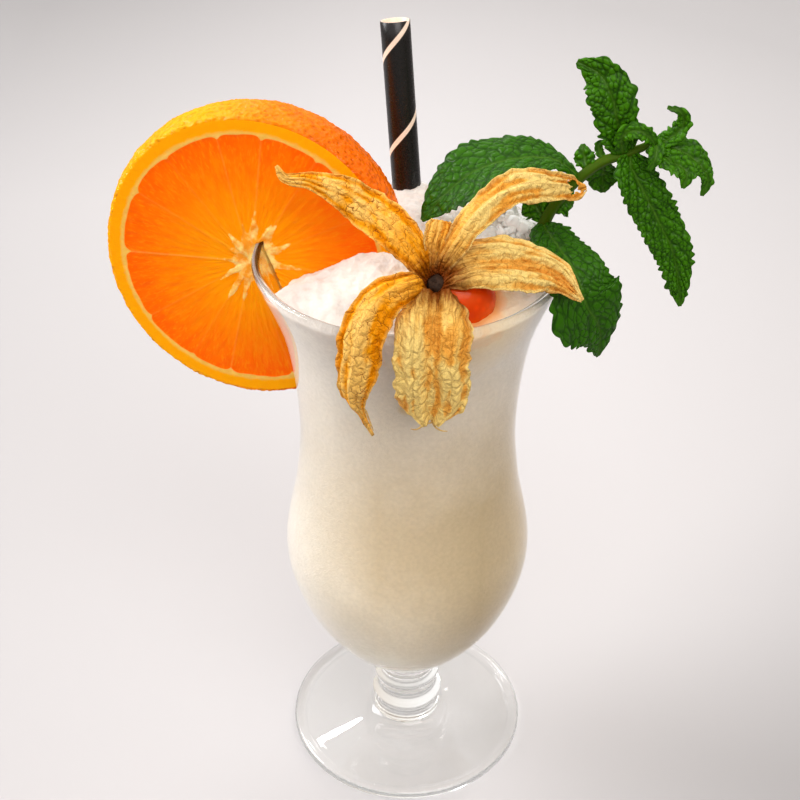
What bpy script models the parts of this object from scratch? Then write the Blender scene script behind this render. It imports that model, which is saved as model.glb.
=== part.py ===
"""A milkshake in a footed hurricane glass, with an orange wheel on the rim, a cape gooseberry in its
open husk, a sprig of mint and a paper straw.

The origin is the middle of the glass's flat foot, where it stands. +Z is up and -Y faces the viewer.
Places and sizes are written in millimetres, and MM turns them into metres.
"""

import math

import bmesh
import bpy
import numpy as np
from mathutils import Matrix, Vector

MM = 0.001
GAP = 0.35  # room left between pieces that touch
SIDES = 40  # sides of the glass and of the drink that fills it

# Glass: (radius, height) along its outside, from the table up
WALL = 2.2
FLOOR = 36.2  # height of the inside of the bowl at its middle
FLOOR_SHARES = (0.78, 0.5, 0.0)  # where the round floor of the bowl has its rings, out from the middle
FLOOR_CURVE = 2.4  # how sharply the floor turns up into the wall
FOOT_OUTLINE = ((35.0, 0.0), (36.4, 0.6), (36.8, 1.8), (35.6, 3.1))
STEM_OUTLINE = ((23.0, 4.0), (13.4, 5.6), (10.3, 8.4), (11.0, 12.6), (9.4, 17.9), (10.2, 20.9), (8.2, 25.4))
BOWL_OUTLINE = (
    (10.4, 30.3),
    (20.8, 40.0),
    (31.2, 57.0),
    (36.0, 77.5),
    (31.8, 103.0),
    (30.4, 124.0),
    (33.2, 150.0),
    (40.7, 171.6),
)
BOWL_STEPS = 2
LIP_STEPS = 4

# Frozen drink: a mound that fills the glass to its lip, lower where it meets the orange
DRINK_EDGE = 171.6
DRINK_CROWN = 5.4
DRINK_CROWN_RADIUS = 37.0
DRINK_RINGS = (0.0, 0.16, 0.32, 0.46, 0.6, 0.72, 0.82, 0.91, 1.0)
DRINK_TURN = 157.0  # below this height the drink's side follows the glass's own rings
DRINK_SIDE_SHARES = (1.0, 0.7, 0.4, 0.0)  # rings of the drink's side, from there up to its edge
DIP_DEPTH = (4.2, 0.28, -8.0)  # depth beside the wheel, its growth towards the glass wall, and the x it grows from
DIP_REACH = (4.0, 0.5, -12.5)  # the same for how far the dip reaches out from the wheel
DIP_FADE = 8.0  # the dip ends this far past the middle of the glass
LUMPS = (  # x, y, height and spread of the frozen lumps
    (25.0, 14.0, 4.6, 5.0),
    (2.0, 27.0, 5.2, 8.0),
    (14.0, 21.0, 1.6, 5.0),
    (-12.0, 31.0, 1.5, 5.0),
    (17.0, -3.0, 1.2, 5.0),
    (-16.0, -19.0, 1.0, 6.0),
)

# Orange wheel, slit from its lower edge to just above its middle and set on the rim
WHEEL_CENTRE = (-41.9, 5.7, 167.4)  # middle of the cut face that looks at the viewer
WHEEL_TURN = math.radians(9.6)
WHEEL_LEAN = math.radians(5.0)
WHEEL_THICKNESS = 17.0
WHEEL_FRONT_RADIUS = 39.6
WHEEL_MIDDLE_RADIUS = 40.7
WHEEL_BACK_RADIUS = 38.7
WHEEL_EDGE = 0.7
WHEEL_SIDES = 56
SLIT_FROM, SLIT_TO = math.radians(126.0), math.radians(198.0)
SLIT_BOTTOM = 118.0
SLIT_ROOM_ABOVE = 1.55  # room over the rim's rounded edge

# Paper straw
STRAW_TOP = (-3.5, 34.9, 222.6)
STRAW_BOTTOM = (9.5, 3.1, 42.0)
STRAW_RADIUS = 3.95
STRAW_PAPER = 0.5
STRAW_SIDES = 20

# Cape gooseberry and its husk, which has split into five lobes
BERRY_CENTRE = (11.8, -24.0, 174.0)
BERRY_RADIUS = 9.5
HUSK_CENTRE = (6.2, -29.3, 181.1)  # the scar where the stalk was
HUSK_FACING = (-0.53, -0.505, 0.678)
HUSK_SCAR_RADIUS = 2.4
HUSK_SCAR_DEPTH = 0.4
HUSK_THICKNESS = 0.5
HUSK_STEPS = 2
HUSK_FULL_RIBS = 3.0  # half width from which the ribs stand at their full height
LEAST_HALF_WIDTH = 0.3  # of the tip of a lobe or leaf
# Each lobe: first and last angle on the scar, the way it faces, (x, y, z, half width) along its middle,
# the number of cells across it, the number of its ribs and how high they stand
HUSK_LOBES = {
    "upper_left": (
        (108, 166),
        (-0.1, -0.8, 0.6),
        ((3.4, -26.4, 184.6, 3.2), (-2.2, -20.5, 189.5, 4.9), (-9.2, -14.5, 192.6, 5.2),
         (-16.7, -10.5, 196.0, 4.0), (-24.2, -8.0, 197.8, 2.2), (-30.2, -6.5, 197.6, 1.3), (-32.6, -5.6, 200.6, 0.4)),
        6,
        1,
        1.1,
    ),
    "middle_fold": (
        (90, 108),
        (-0.2, -0.8, 0.6),
        ((5.6, -26.6, 184.9, 1.0), (6.4, -23.6, 188.6, 2.4), (7.4, -20.9, 191.4, 2.7), (7.8, -19.6, 192.8, 1.6)),
        2,
        1,
        0.6,
    ),
    "upper_right": (
        (32, 90),
        (-0.3, -0.75, 0.6),
        ((8.9, -27.0, 186.4, 2.8), (14.6, -22.8, 193.6, 3.7), (20.6, -18.0, 197.6, 4.0),
         (27.3, -13.0, 198.5, 4.7), (35.8, -8.4, 196.2, 3.5), (41.2, -6.0, 194.6, 2.9), (43.8, -5.2, 194.6, 0.9)),
        6,
        1,
        1.2,
    ),
    "right": (
        (-40, 32),
        (0.0, -0.6, 0.8),
        ((10.6, -28.6, 183.6, 4.4), (17.0, -27.4, 185.0, 6.6), (26.8, -24.6, 183.2, 7.0),
         (35.0, -24.0, 180.2, 4.8), (42.0, -28.0, 175.6, 0.5)),
        6,
        2,
        1.2,
    ),
    "lower": (
        (236, 320),
        (0.0, -0.8, 0.5),
        ((6.2, -33.4, 180.4, 4.8), (6.0, -38.2, 178.4, 7.9), (5.5, -42.6, 174.6, 9.2), (5.3, -44.3, 167.6, 9.0),
         (5.5, -43.9, 160.2, 9.0), (5.4, -43.0, 154.6, 7.4), (5.3, -42.2, 151.0, 3.0)),
        6,
        2,
        1.8,
    ),
    "lower_left": (
        (166, 236),
        (-0.3, -0.75, 0.5),
        ((2.0, -32.4, 182.6, 3.2), (-5.6, -37.6, 182.2, 4.9), (-10.3, -42.0, 176.8, 5.8), (-12.3, -43.8, 166.6, 5.6),
         (-13.1, -43.2, 158.6, 3.6), (-11.8, -41.9, 152.6, 1.2), (-9.0, -40.4, 144.4, 0.4)),
        6,
        1,
        1.5,
    ),
}

# Mint sprig: its stalk, then leaves: the way each one faces at its foot and at its tip, and
# (x, y, z, half width) along its midrib
STALK = ((24.0, 4.0, 152.0), (29.5, 6.6, 165.0), (34.9, 8.0, 175.9), (38.4, 8.2, 183.4), (42.9, 8.6, 189.0),
         (49.0, 9.0, 194.3), (55.5, 9.0, 197.0), (62.2, 8.6, 200.0))
STALK_RADIUS = (1.5, 1.5, 1.5, 1.4, 1.35, 1.3, 1.2, 0.9)
STALK_SIDES = 8
STALK_STEPS = 2
LEAF_THICKNESS = 0.55
LEAF_COLUMNS = 4
LEAF_STEPS = 2
LEAF_FOLD = 0.22  # how far the halves of a leaf stand up from its midrib, to its half width
LEAF_EDGE_DROOP = 0.6  # how far they bend down again towards the edge
LEAVES = {
    "big_left": (
        (0.1, -0.2, 1.0), (0.1, -0.12, 1.0),
        ((43.8, 8.8, 190.6, 0.9), (36.6, 8.4, 195.6, 5.2), (26.8, 8.0, 195.8, 9.2), (17.6, 7.0, 193.2, 10.3),
         (10.0, 5.0, 188.0, 7.6), (3.5, 3.0, 181.0, 0.6)),
    ),
    "over_rim": (
        (-0.5, 0.3, 2.0), (1.0, -1.2, -0.5),
        ((35.4, 7.8, 177.4, 1.3), (35.8, 2.6, 178.2, 4.4), (37.8, -5.0, 178.0, 6.2), (40.0, -12.0, 177.2, 7.8),
         (42.2, -16.6, 174.6, 9.2), (44.2, -18.4, 168.8, 11.6), (48.6, -15.8, 160.4, 7.2), (49.6, -13.2, 149.8, 0.5)),
    ),
    "upper": (
        (-0.1, -0.95, 0.1), (-0.1, -0.95, 0.1),
        ((54.2, 9.0, 197.2, 2.4), (53.8, 8.7, 200.4, 4.2), (52.2, 8.2, 206.5, 5.1), (50.4, 8.6, 212.7, 5.8),
         (47.0, 10.6, 217.9, 4.4), (41.6, 12.0, 220.4, 0.6)),
    ),
    "hanging": (
        (0.05, -0.9, 0.35), (0.05, -0.9, 0.35),
        ((56.2, 8.8, 197.3, 2.2), (57.2, 7.4, 193.4, 4.7), (60.8, 6.6, 187.0, 5.5), (65.9, 6.4, 178.0, 5.6),
         (70.3, 6.0, 169.4, 4.9), (72.4, 5.5, 161.0, 3.2), (73.6, 5.0, 154.0, 0.4)),
    ),
    "curled": (
        (-0.5, -0.7, 0.5), (-0.5, -0.7, 0.5),
        ((61.0, 8.6, 199.6, 1.2), (65.4, 8.4, 200.9, 2.3), (69.0, 8.2, 204.8, 2.1), (68.2, 8.0, 208.6, 1.2),
         (64.4, 7.8, 210.0, 0.4)),
    ),
    "far_right": (
        (0.3, -0.6, 0.75), (0.3, -0.6, 0.75),
        ((61.4, 8.4, 199.6, 1.2), (67.4, 7.6, 199.0, 3.8), (73.2, 6.6, 195.8, 3.7), (76.2, 5.8, 191.4, 2.0),
         (75.4, 5.2, 187.0, 0.4)),
    ),
    "low_right": (
        (0.1, -0.7, 0.7), (0.1, -0.7, 0.7),
        ((60.6, 7.6, 199.0, 1.2), (65.6, 4.6, 197.4, 2.8), (70.0, 3.0, 194.6, 2.4), (69.4, 1.8, 190.8, 0.4)),
    ),
    "top_fold": (
        (-0.1, -0.9, 0.4), (-0.1, -0.9, 0.4),
        ((54.6, 8.4, 197.4, 1.0), (53.5, 6.4, 201.6, 1.8), (54.6, 5.4, 204.4, 2.0), (57.3, 5.0, 205.0, 2.0),
         (60.0, 5.0, 203.6, 1.7), (62.0, 5.6, 201.2, 0.6)),
    ),
    "top_curl": (
        (0.1, -0.9, 0.3), (0.1, -0.9, 0.3),
        ((61.2, 8.2, 199.8, 1.2), (62.2, 5.4, 200.6, 1.9), (61.9, 3.4, 198.4, 1.8), (60.6, 2.6, 195.4, 0.4)),
    ),
    "hook": (
        (-0.2, -0.9, 0.3), (-0.2, -0.9, 0.3),
        ((50.0, 9.2, 195.2, 0.8), (48.8, 10.0, 197.3, 1.0), (48.6, 10.4, 199.0, 0.9), (49.9, 10.6, 199.8, 0.3)),
    ),
    "behind": (
        (-0.1, -0.9, 0.2), (-0.1, -0.9, 0.2),
        ((50.2, 9.4, 195.0, 1.0), (50.6, 12.4, 190.6, 4.0), (50.8, 13.6, 186.6, 3.4), (51.4, 14.0, 183.6, 0.5)),
    ),
    "stalk_pair": (
        (-0.2, -0.9, 0.3), (-0.2, -0.9, 0.3),
        ((46.4, 8.8, 192.2, 1.0), (45.2, 10.4, 195.4, 2.6), (44.6, 11.8, 198.4, 0.4)),
    ),
    "foot_left": (
        (-0.2, -0.8, 0.5), (-0.2, -0.8, 0.5),
        ((35.8, 8.4, 178.2, 1.2), (33.2, 10.8, 181.6, 4.2), (30.4, 12.0, 184.0, 0.5)),
    ),
    "foot_back": (
        (0.0, -0.8, 0.5), (0.0, -0.8, 0.5),
        ((36.8, 8.8, 180.0, 1.2), (36.4, 12.4, 184.0, 4.0), (35.0, 14.2, 187.6, 0.5)),
    ),
    "foot_right": (
        (0.2, -0.8, 0.5), (0.2, -0.8, 0.5),
        ((37.6, 8.6, 181.4, 1.2), (40.8, 10.4, 182.6, 4.0), (43.4, 12.0, 181.0, 0.5)),
    ),
}


def smooth_path(points, steps):
    """A curve through the given points, with this many steps from each one to the next."""
    known = [np.array(point, float) for point in points]
    known = [2 * known[0] - known[1]] + known + [2 * known[-1] - known[-2]]
    path = []
    for before, start, end, after in zip(known, known[1:], known[2:], known[3:]):
        for step in range(steps):
            t = step / steps
            pull = (end - before) * t
            bend = (2 * before - 5 * start + 4 * end - after) * t**2
            swing = (3 * start - before - 3 * end + after) * t**3
            path.append(start + (pull + bend + swing) / 2)
    path.append(known[-2])
    return path


def finish(name, colour, roughness, transmission=0.0):
    """A material from a plain colour and a roughness."""
    material = bpy.data.materials.new(name)
    material.use_nodes = True
    shader = material.node_tree.nodes["Principled BSDF"]
    shader.inputs["Base Color"].default_value = (*colour, 1.0)
    shader.inputs["Roughness"].default_value = roughness
    shader.inputs["Metallic"].default_value = 0.0
    shader.inputs["Transmission Weight"].default_value = transmission
    material.diffuse_color = (*colour, 1.0)
    return material


def add_object(name, shape, material=None, sharp_angle=math.radians(40.0)):
    """An object from a bmesh whose lengths are in millimetres. Without a material it is a cutter."""
    bmesh.ops.remove_doubles(shape, verts=shape.verts, dist=0.001)
    bmesh.ops.recalc_face_normals(shape, faces=shape.faces)
    bmesh.ops.scale(shape, vec=(MM, MM, MM), verts=shape.verts)
    mesh = bpy.data.meshes.new(name)
    shape.to_mesh(mesh)
    shape.free()
    obj = bpy.data.objects.new(name, mesh)
    bpy.context.scene.collection.objects.link(obj)
    if material:
        mesh.materials.append(material)
        mesh.shade_smooth()
        mesh.set_sharp_from_angle(angle=sharp_angle)
    else:
        obj.hide_render = True
        obj.display_type = "WIRE"
    return obj


def cut(obj, cutter):
    """Takes the cutter's shape out of the object."""
    modifier = obj.modifiers.new("cut_" + cutter.name, "BOOLEAN")
    modifier.operation = "DIFFERENCE"
    modifier.solver = "EXACT"
    modifier.object = cutter


def turned(outline, sides):
    """A body of revolution about Z from (radius, height) points that start and end on the axis."""
    shape = bmesh.new()
    corners = [shape.verts.new((radius, 0.0, height)) for radius, height in outline]
    edges = [shape.edges.new(pair) for pair in zip(corners, corners[1:])]
    bmesh.ops.spin(shape, geom=corners + edges, axis=(0, 0, 1), cent=(0, 0, 0), angle=math.tau, steps=sides)
    return shape


def bowl_outside():
    """(radius, height) along the outside of the bowl, from the stem to the lip."""
    return smooth_path(BOWL_OUTLINE, BOWL_STEPS)


def bowl_offset(depth):
    """The outside of the bowl moved inwards by a depth, from just above the stem to the lip."""
    outside = bowl_outside()
    moved = []
    for index, point in enumerate(outside):
        before = outside[max(index - 1, 0)]
        after = outside[min(index + 1, len(outside) - 1)]
        along = (after - before) / np.linalg.norm(after - before)
        moved.append(point + depth * np.array((-along[1], along[0])))
    return moved


def bowl_inside(gap):
    """The inside of the bowl, from the lip down to the middle of its floor, with a gap to the glass."""
    wall = bowl_offset(WALL + gap)[BOWL_STEPS:]
    floor = FLOOR + gap
    low = wall[0]
    round_off = [np.array((low[0] * share, floor + (low[1] - floor) * share**FLOOR_CURVE)) for share in FLOOR_SHARES]
    return wall[::-1] + round_off


def inner_radius(height, gap):
    """Radius of the inside of the bowl at a height."""
    wall = bowl_inside(gap)[::-1]
    return float(np.interp(height, [point[1] for point in wall], [point[0] for point in wall]))


def lip():
    """The rounded edge between the outside and the inside of the bowl."""
    outer = bowl_outside()[-1]
    inner = bowl_offset(WALL)[-1]
    middle = (outer + inner) / 2
    spoke = outer - middle
    arc = []
    for step in range(1, LIP_STEPS):
        angle = math.pi * step / LIP_STEPS
        turned_spoke = (
            spoke[0] * math.cos(angle) - spoke[1] * math.sin(angle),
            spoke[0] * math.sin(angle) + spoke[1] * math.cos(angle),
        )
        arc.append(middle + np.array(turned_spoke))
    return arc


def glass():
    """The hurricane glass: foot, short turned stem, waisted bowl and rounded lip."""
    outline = [(0.0, 0.0), *FOOT_OUTLINE, *STEM_OUTLINE, *bowl_outside(), *lip(), *bowl_inside(0.0)]
    shape = turned([tuple(point) for point in outline], SIDES)
    add_object("glass", shape, finish("clear_glass", (0.88, 0.92, 0.92), 0.03, 0.9))


def wheel_matrix():
    """Places the wheel: its own Z runs from the face that the viewer sees to the one behind."""
    upright = Matrix.Rotation(math.radians(-90.0) - WHEEL_LEAN, 4, "X")
    turn = Matrix.Rotation(-WHEEL_TURN, 4, "Z")
    return Matrix.Translation(WHEEL_CENTRE) @ turn @ upright


def wheel_shape(grow):
    """The orange wheel as a thick disc whose peel bulges, grown by a gap where it is a cutter."""
    front, middle, back = (radius + grow for radius in (WHEEL_FRONT_RADIUS, WHEEL_MIDDLE_RADIUS, WHEEL_BACK_RADIUS))
    low, high = -grow, WHEEL_THICKNESS + grow
    outline = (
        (0.0, low),
        (front - WHEEL_EDGE, low),
        (front, low + WHEEL_EDGE),
        (middle, WHEEL_THICKNESS / 2),
        (back, high - WHEEL_EDGE),
        (back - WHEEL_EDGE, high),
        (0.0, high),
    )
    shape = turned(outline, WHEEL_SIDES)
    bmesh.ops.transform(shape, matrix=wheel_matrix(), verts=shape.verts)
    return shape


def slit_shape():
    """The stretch of glass wall that the wheel sits on, with room all round it."""
    outer = [point for point in bowl_offset(-GAP) if point[1] > SLIT_BOTTOM]
    inner = [point for point in bowl_offset(WALL + GAP) if point[1] > SLIT_BOTTOM]
    top = [point + np.array((0.0, SLIT_ROOM_ABOVE)) for point in (outer[-1], inner[-1])]
    loop = [*outer, *top, *inner[::-1]]
    shape = bmesh.new()
    corners = [shape.verts.new((radius, 0.0, height)) for radius, height in loop]
    shape.faces.new(corners)
    bmesh.ops.rotate(shape, matrix=Matrix.Rotation(SLIT_FROM, 3, "Z"), verts=shape.verts)
    steps = round((SLIT_TO - SLIT_FROM) / math.tau * SIDES)
    bmesh.ops.spin(
        shape,
        geom=shape.verts[:] + shape.edges[:] + shape.faces[:],
        axis=(0, 0, 1),
        cent=(0, 0, 0),
        angle=SLIT_TO - SLIT_FROM,
        steps=steps,
    )
    return shape


def orange_wheel():
    """The wheel, with the slit that lets it down over the rim."""
    wheel = add_object("orange_slice", wheel_shape(0.0), finish("orange_flesh_and_peel", (0.9, 0.27, 0.01), 0.45))
    cut(wheel, add_object("slit_cutter", slit_shape()))


def in_front_of_wheel(x, y):
    """How far a point of the drink's top lies in front of the wheel's nearer face."""
    away = (x - WHEEL_CENTRE[0], y - WHEEL_CENTRE[1])
    return -(away[0] * math.sin(WHEEL_TURN) + away[1] * math.cos(WHEEL_TURN))


def growing(start, growth, from_x, x):
    """A value that grows towards the glass wall that the wheel sits on."""
    return start + growth * max(from_x - x, 0.0)


def drink_height(x, y):
    """Height of the frozen mound over a point of the glass."""
    height = DRINK_EDGE + DRINK_CROWN * (1.0 - min(math.hypot(x, y) / DRINK_CROWN_RADIUS, 1.0) ** 2)
    for lump_x, lump_y, lump_height, spread in LUMPS:
        height += lump_height * math.exp(-((x - lump_x) ** 2 + (y - lump_y) ** 2) / (2 * spread**2))
    beside_wheel = min(max(1.0 - x / DIP_FADE, 0.0), 1.0)
    depth, reach = growing(*DIP_DEPTH, x), growing(*DIP_REACH, x)
    return height - depth * beside_wheel * math.exp(-((in_front_of_wheel(x, y) / reach) ** 2))


def drink_shape():
    """The drink: a mounded top, sides that follow the inside of the glass, and a rounded bottom."""
    wall = bowl_inside(GAP)
    low_rings = [point for point in wall[:-1] if point[1] < DRINK_TURN]
    shape = bmesh.new()
    top_shares = DRINK_RINGS[1:-1]
    rings = [[] for _ in range(len(top_shares) + len(DRINK_SIDE_SHARES) + len(low_rings))]
    for side in range(SIDES):
        angle = math.tau * side / SIDES
        across, along = math.cos(angle), math.sin(angle)
        reach = inner_radius(DRINK_EDGE, GAP)
        edge = drink_height(reach * across, reach * along)
        reach = inner_radius(edge, GAP)
        column = []
        for share in top_shares:
            x, y = reach * share * across, reach * share * along
            column.append((x, y, drink_height(x, y)))
        for share in DRINK_SIDE_SHARES:
            height = DRINK_TURN + (edge - DRINK_TURN) * share
            radius = inner_radius(height, GAP)
            column.append((radius * across, radius * along, height))
        for radius, height in low_rings:
            column.append((radius * across, radius * along, height))
        for ring, corner in zip(rings, column):
            ring.append(shape.verts.new(corner))
    for ring, below in zip(rings, rings[1:]):
        for side in range(SIDES):
            after = (side + 1) % SIDES
            shape.faces.new((ring[side], ring[after], below[after], below[side]))
    crown = shape.verts.new((0.0, 0.0, drink_height(0.0, 0.0)))
    floor = shape.verts.new((0.0, 0.0, wall[-1][1]))
    for side in range(SIDES):
        after = (side + 1) % SIDES
        shape.faces.new((crown, rings[0][after], rings[0][side]))
        shape.faces.new((floor, rings[-1][side], rings[-1][after]))
    return shape


def drink():
    """The frozen drink, cut round what is pushed into it."""
    body = add_object("milkshake", drink_shape(), finish("frozen_shake", (0.84, 0.77, 0.66), 0.7))
    cut(body, add_object("wheel_cutter", wheel_shape(GAP)))
    cut(body, add_object("straw_cutter", straw_shape(GAP)))
    cut(body, add_object("berry_cutter", berry_shape(GAP)))
    cut(body, add_object("stalk_cutter", stalk_shape(GAP)))


def straw_shape(grow):
    """The straw as an open tube, or as the sleeve that it needs in the drink."""
    bottom, top = Vector(STRAW_BOTTOM), Vector(STRAW_TOP)
    outer, inner = STRAW_RADIUS + grow, STRAW_RADIUS - STRAW_PAPER - grow
    length = (top - bottom).length + grow
    shape = bmesh.new()
    corners = [shape.verts.new((radius, 0.0, height)) for radius, height in
               ((outer, -grow), (outer, length), (inner, length), (inner, -grow))]
    loop = [shape.edges.new(pair) for pair in zip(corners, corners[1:] + corners[:1])]
    bmesh.ops.spin(shape, geom=corners + loop, axis=(0, 0, 1), cent=(0, 0, 0), angle=math.tau, steps=STRAW_SIDES)
    lean = (top - bottom).to_track_quat("Z", "Y").to_matrix().to_4x4()
    bmesh.ops.transform(shape, matrix=Matrix.Translation(bottom) @ lean, verts=shape.verts)
    return shape


def straw():
    """The paper straw."""
    add_object("straw", straw_shape(0.0), finish("black_paper", (0.02, 0.02, 0.02), 0.6))


def berry_shape(grow):
    """The berry as a plain ball."""
    shape = bmesh.new()
    bmesh.ops.create_uvsphere(shape, u_segments=20, v_segments=12, radius=BERRY_RADIUS + grow)
    bmesh.ops.translate(shape, vec=BERRY_CENTRE, verts=shape.verts)
    return shape


def berry():
    """The cape gooseberry under its husk."""
    add_object("physalis_berry", berry_shape(0.0), finish("berry_skin", (0.75, 0.12, 0.01), 0.3))


def frames_along(path, facing, facing_at_tip=None):
    """Side and face directions at each point of a path, for a blade that faces one way, or turns to another."""
    frames = []
    for index in range(len(path)):
        before = path[max(index - 1, 0)][:3]
        after = path[min(index + 1, len(path) - 1)][:3]
        along = Vector(after - before).normalized()
        turned_facing = Vector(facing).lerp(Vector(facing_at_tip or facing), index / (len(path) - 1))
        side = along.cross(turned_facing).normalized()
        frames.append((side, side.cross(along).normalized()))
    return frames


def thickened(shape, thickness):
    """Gives a sheet of triangles its thickness, half to each side."""
    bmesh.ops.triangulate(shape, faces=shape.faces)
    bmesh.ops.recalc_face_normals(shape, faces=shape.faces)
    shape.normal_update()
    half = thickness / 2
    back = {vert: shape.verts.new(vert.co - vert.normal * half) for vert in shape.verts[:]}
    outline = [edge for edge in shape.edges if edge.is_boundary]
    faces = shape.faces[:]
    for edge in outline:
        first, second = next((a, b) for a, b in edge_ways(edge) if follows(edge.link_faces[0], a, b))
        shape.faces.new((second, first, back[first], back[second]))
    for face in faces:
        shape.faces.new([back[vert] for vert in reversed(face.verts)])
    for vert in back:
        vert.co += vert.normal * half
    return shape


def edge_ways(edge):
    """An edge's two ends, in both orders."""
    first, second = edge.verts
    return (first, second), (second, first)


def follows(face, first, second):
    """Whether the second corner comes straight after the first one, going round the face."""
    corners = list(face.verts)
    return corners[(corners.index(first) + 1) % len(corners)] == second


def rib_height(across, ribs, height):
    """How far ribbed paper stands off its middle plane, at a place from -1 to 1 across a lobe."""
    return height * (0.5 - 0.5 * math.cos(math.tau * ribs * (across + 1.0) / 2.0))


def husk_ring(angle):
    """A point on the edge of the scar."""
    facing = Vector(HUSK_FACING).normalized()
    right = (Vector((1.0, 0.0, 0.0)) - facing * facing.x).normalized()
    up = facing.cross(right)
    turn = math.radians(angle)
    return Vector(HUSK_CENTRE) + (right * math.cos(turn) + up * math.sin(turn)) * HUSK_SCAR_RADIUS


def husk():
    """The papery husk: one sheet that runs from the scar out into five ribbed lobes."""
    shape = bmesh.new()
    scar = shape.verts.new(Vector(HUSK_CENTRE) - Vector(HUSK_FACING) * HUSK_SCAR_DEPTH)
    for (first, last), facing, middle, columns, ribs, rib in HUSK_LOBES.values():
        shares = [column / columns for column in range(columns + 1)]
        rows = [[shape.verts.new(husk_ring(first + (last - first) * share)) for share in shares]]
        path = smooth_path(middle, HUSK_STEPS)
        for point, (side, face) in zip(path, frames_along(path, facing)):
            width = max(point[3], LEAST_HALF_WIDTH)
            row = []
            for share in shares:
                across = 1.0 - 2.0 * share
                lift = rib_height(across, ribs, rib) * min(width / HUSK_FULL_RIBS, 1.0)
                row.append(shape.verts.new(Vector(point[:3]) - side * width * across + face * lift))
            rows.append(row)
        if (rows[1][0].co - rows[0][0].co).length > (rows[1][-1].co - rows[0][0].co).length:
            rows[1:] = [row[::-1] for row in rows[1:]]
        for left, right in zip(rows[0], rows[0][1:]):
            shape.faces.new((scar, left, right))
        for row, after in zip(rows, rows[1:]):
            for column in range(columns):
                shape.faces.new((row[column], row[column + 1], after[column + 1], after[column]))
    bmesh.ops.remove_doubles(shape, verts=shape.verts, dist=0.01)
    add_object("physalis_husk", thickened(shape, HUSK_THICKNESS), finish("dry_husk", (0.8, 0.42, 0.08), 0.6))


def stalk_shape(grow):
    """The mint's stalk as a tapering tube with closed ends."""
    stations = [(*point, radius) for point, radius in zip(STALK, STALK_RADIUS)]
    path = smooth_path(stations, STALK_STEPS)
    foot = path[0][:3] - path[1][:3]
    path[0][:3] += grow * foot / np.linalg.norm(foot)
    shape = bmesh.new()
    rings = []
    for point, (side, face) in zip(path, frames_along(path, (0.0, -1.0, 0.0))):
        ring = []
        for corner in range(STALK_SIDES):
            angle = math.tau * corner / STALK_SIDES
            spoke = side * math.cos(angle) + face * math.sin(angle)
            ring.append(shape.verts.new(Vector(point[:3]) + spoke * (point[3] + grow)))
        rings.append(ring)
    for ring, after in zip(rings, rings[1:]):
        for corner in range(STALK_SIDES):
            beside = (corner + 1) % STALK_SIDES
            shape.faces.new((ring[corner], ring[beside], after[beside], after[corner]))
    shape.faces.new(rings[0][::-1])
    shape.faces.new(rings[-1])
    return shape


def leaf_shape(facing, facing_at_tip, midrib):
    """A mint leaf: a thin blade folded a little along its midrib."""
    path = smooth_path(midrib, LEAF_STEPS)
    shape = bmesh.new()
    rows = []
    for point, (side, face) in zip(path, frames_along(path, facing, facing_at_tip)):
        width = max(point[3], LEAST_HALF_WIDTH)
        row = []
        for column in range(LEAF_COLUMNS + 1):
            across = 2.0 * column / LEAF_COLUMNS - 1.0
            lift = width * LEAF_FOLD * (abs(across) - LEAF_EDGE_DROOP * across**2)
            row.append(shape.verts.new(Vector(point[:3]) + side * width * across + face * lift))
        rows.append(row)
    for row, after in zip(rows, rows[1:]):
        for column in range(LEAF_COLUMNS):
            shape.faces.new((row[column], row[column + 1], after[column + 1], after[column]))
    return thickened(shape, LEAF_THICKNESS)


def mint_sprig():
    """Stalk and leaves, joined into one piece."""
    green = finish("mint_leaf", (0.05, 0.2, 0.02), 0.5)
    sprig = add_object("mint_sprig", stalk_shape(0.0), green)
    joined = bpy.data.collections.new("mint_leaves")
    bpy.context.scene.collection.children.link(joined)
    for name, leaf_form in LEAVES.items():
        leaf = add_object("leaf_" + name, leaf_shape(*leaf_form), green)
        bpy.context.scene.collection.objects.unlink(leaf)
        joined.objects.link(leaf)
    union = sprig.modifiers.new("union", "BOOLEAN")
    union.operation = "UNION"
    union.solver = "MANIFOLD"
    union.operand_type = "COLLECTION"
    union.collection = joined
    bpy.context.view_layer.objects.active = sprig
    with bpy.context.temp_override(object=sprig, active_object=sprig, selected_objects=[sprig]):
        bpy.ops.object.modifier_apply(modifier=union.name)
    for leaf in list(joined.objects):
        bpy.data.objects.remove(leaf)
    bpy.data.collections.remove(joined)


def main():
    for old in list(bpy.data.objects):
        bpy.data.objects.remove(old)
    glass()
    drink()
    orange_wheel()
    straw()
    husk()
    berry()
    mint_sprig()


main()
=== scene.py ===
"""Dresses the milkshake's solids: clear glass, frosty drink, cut orange, husked berry, mint and straw.

The sizes below are in millimetres, as on a drawing, and MM turns them into metres. +Z is up, -Y faces
the viewer, and the origin is the middle of the glass's foot.
"""

import math
from functools import partial

import bmesh
import bpy
import numpy as np
from bpy.props import FloatProperty, FloatVectorProperty, PointerProperty
from mathutils import Matrix, Vector, noise


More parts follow.
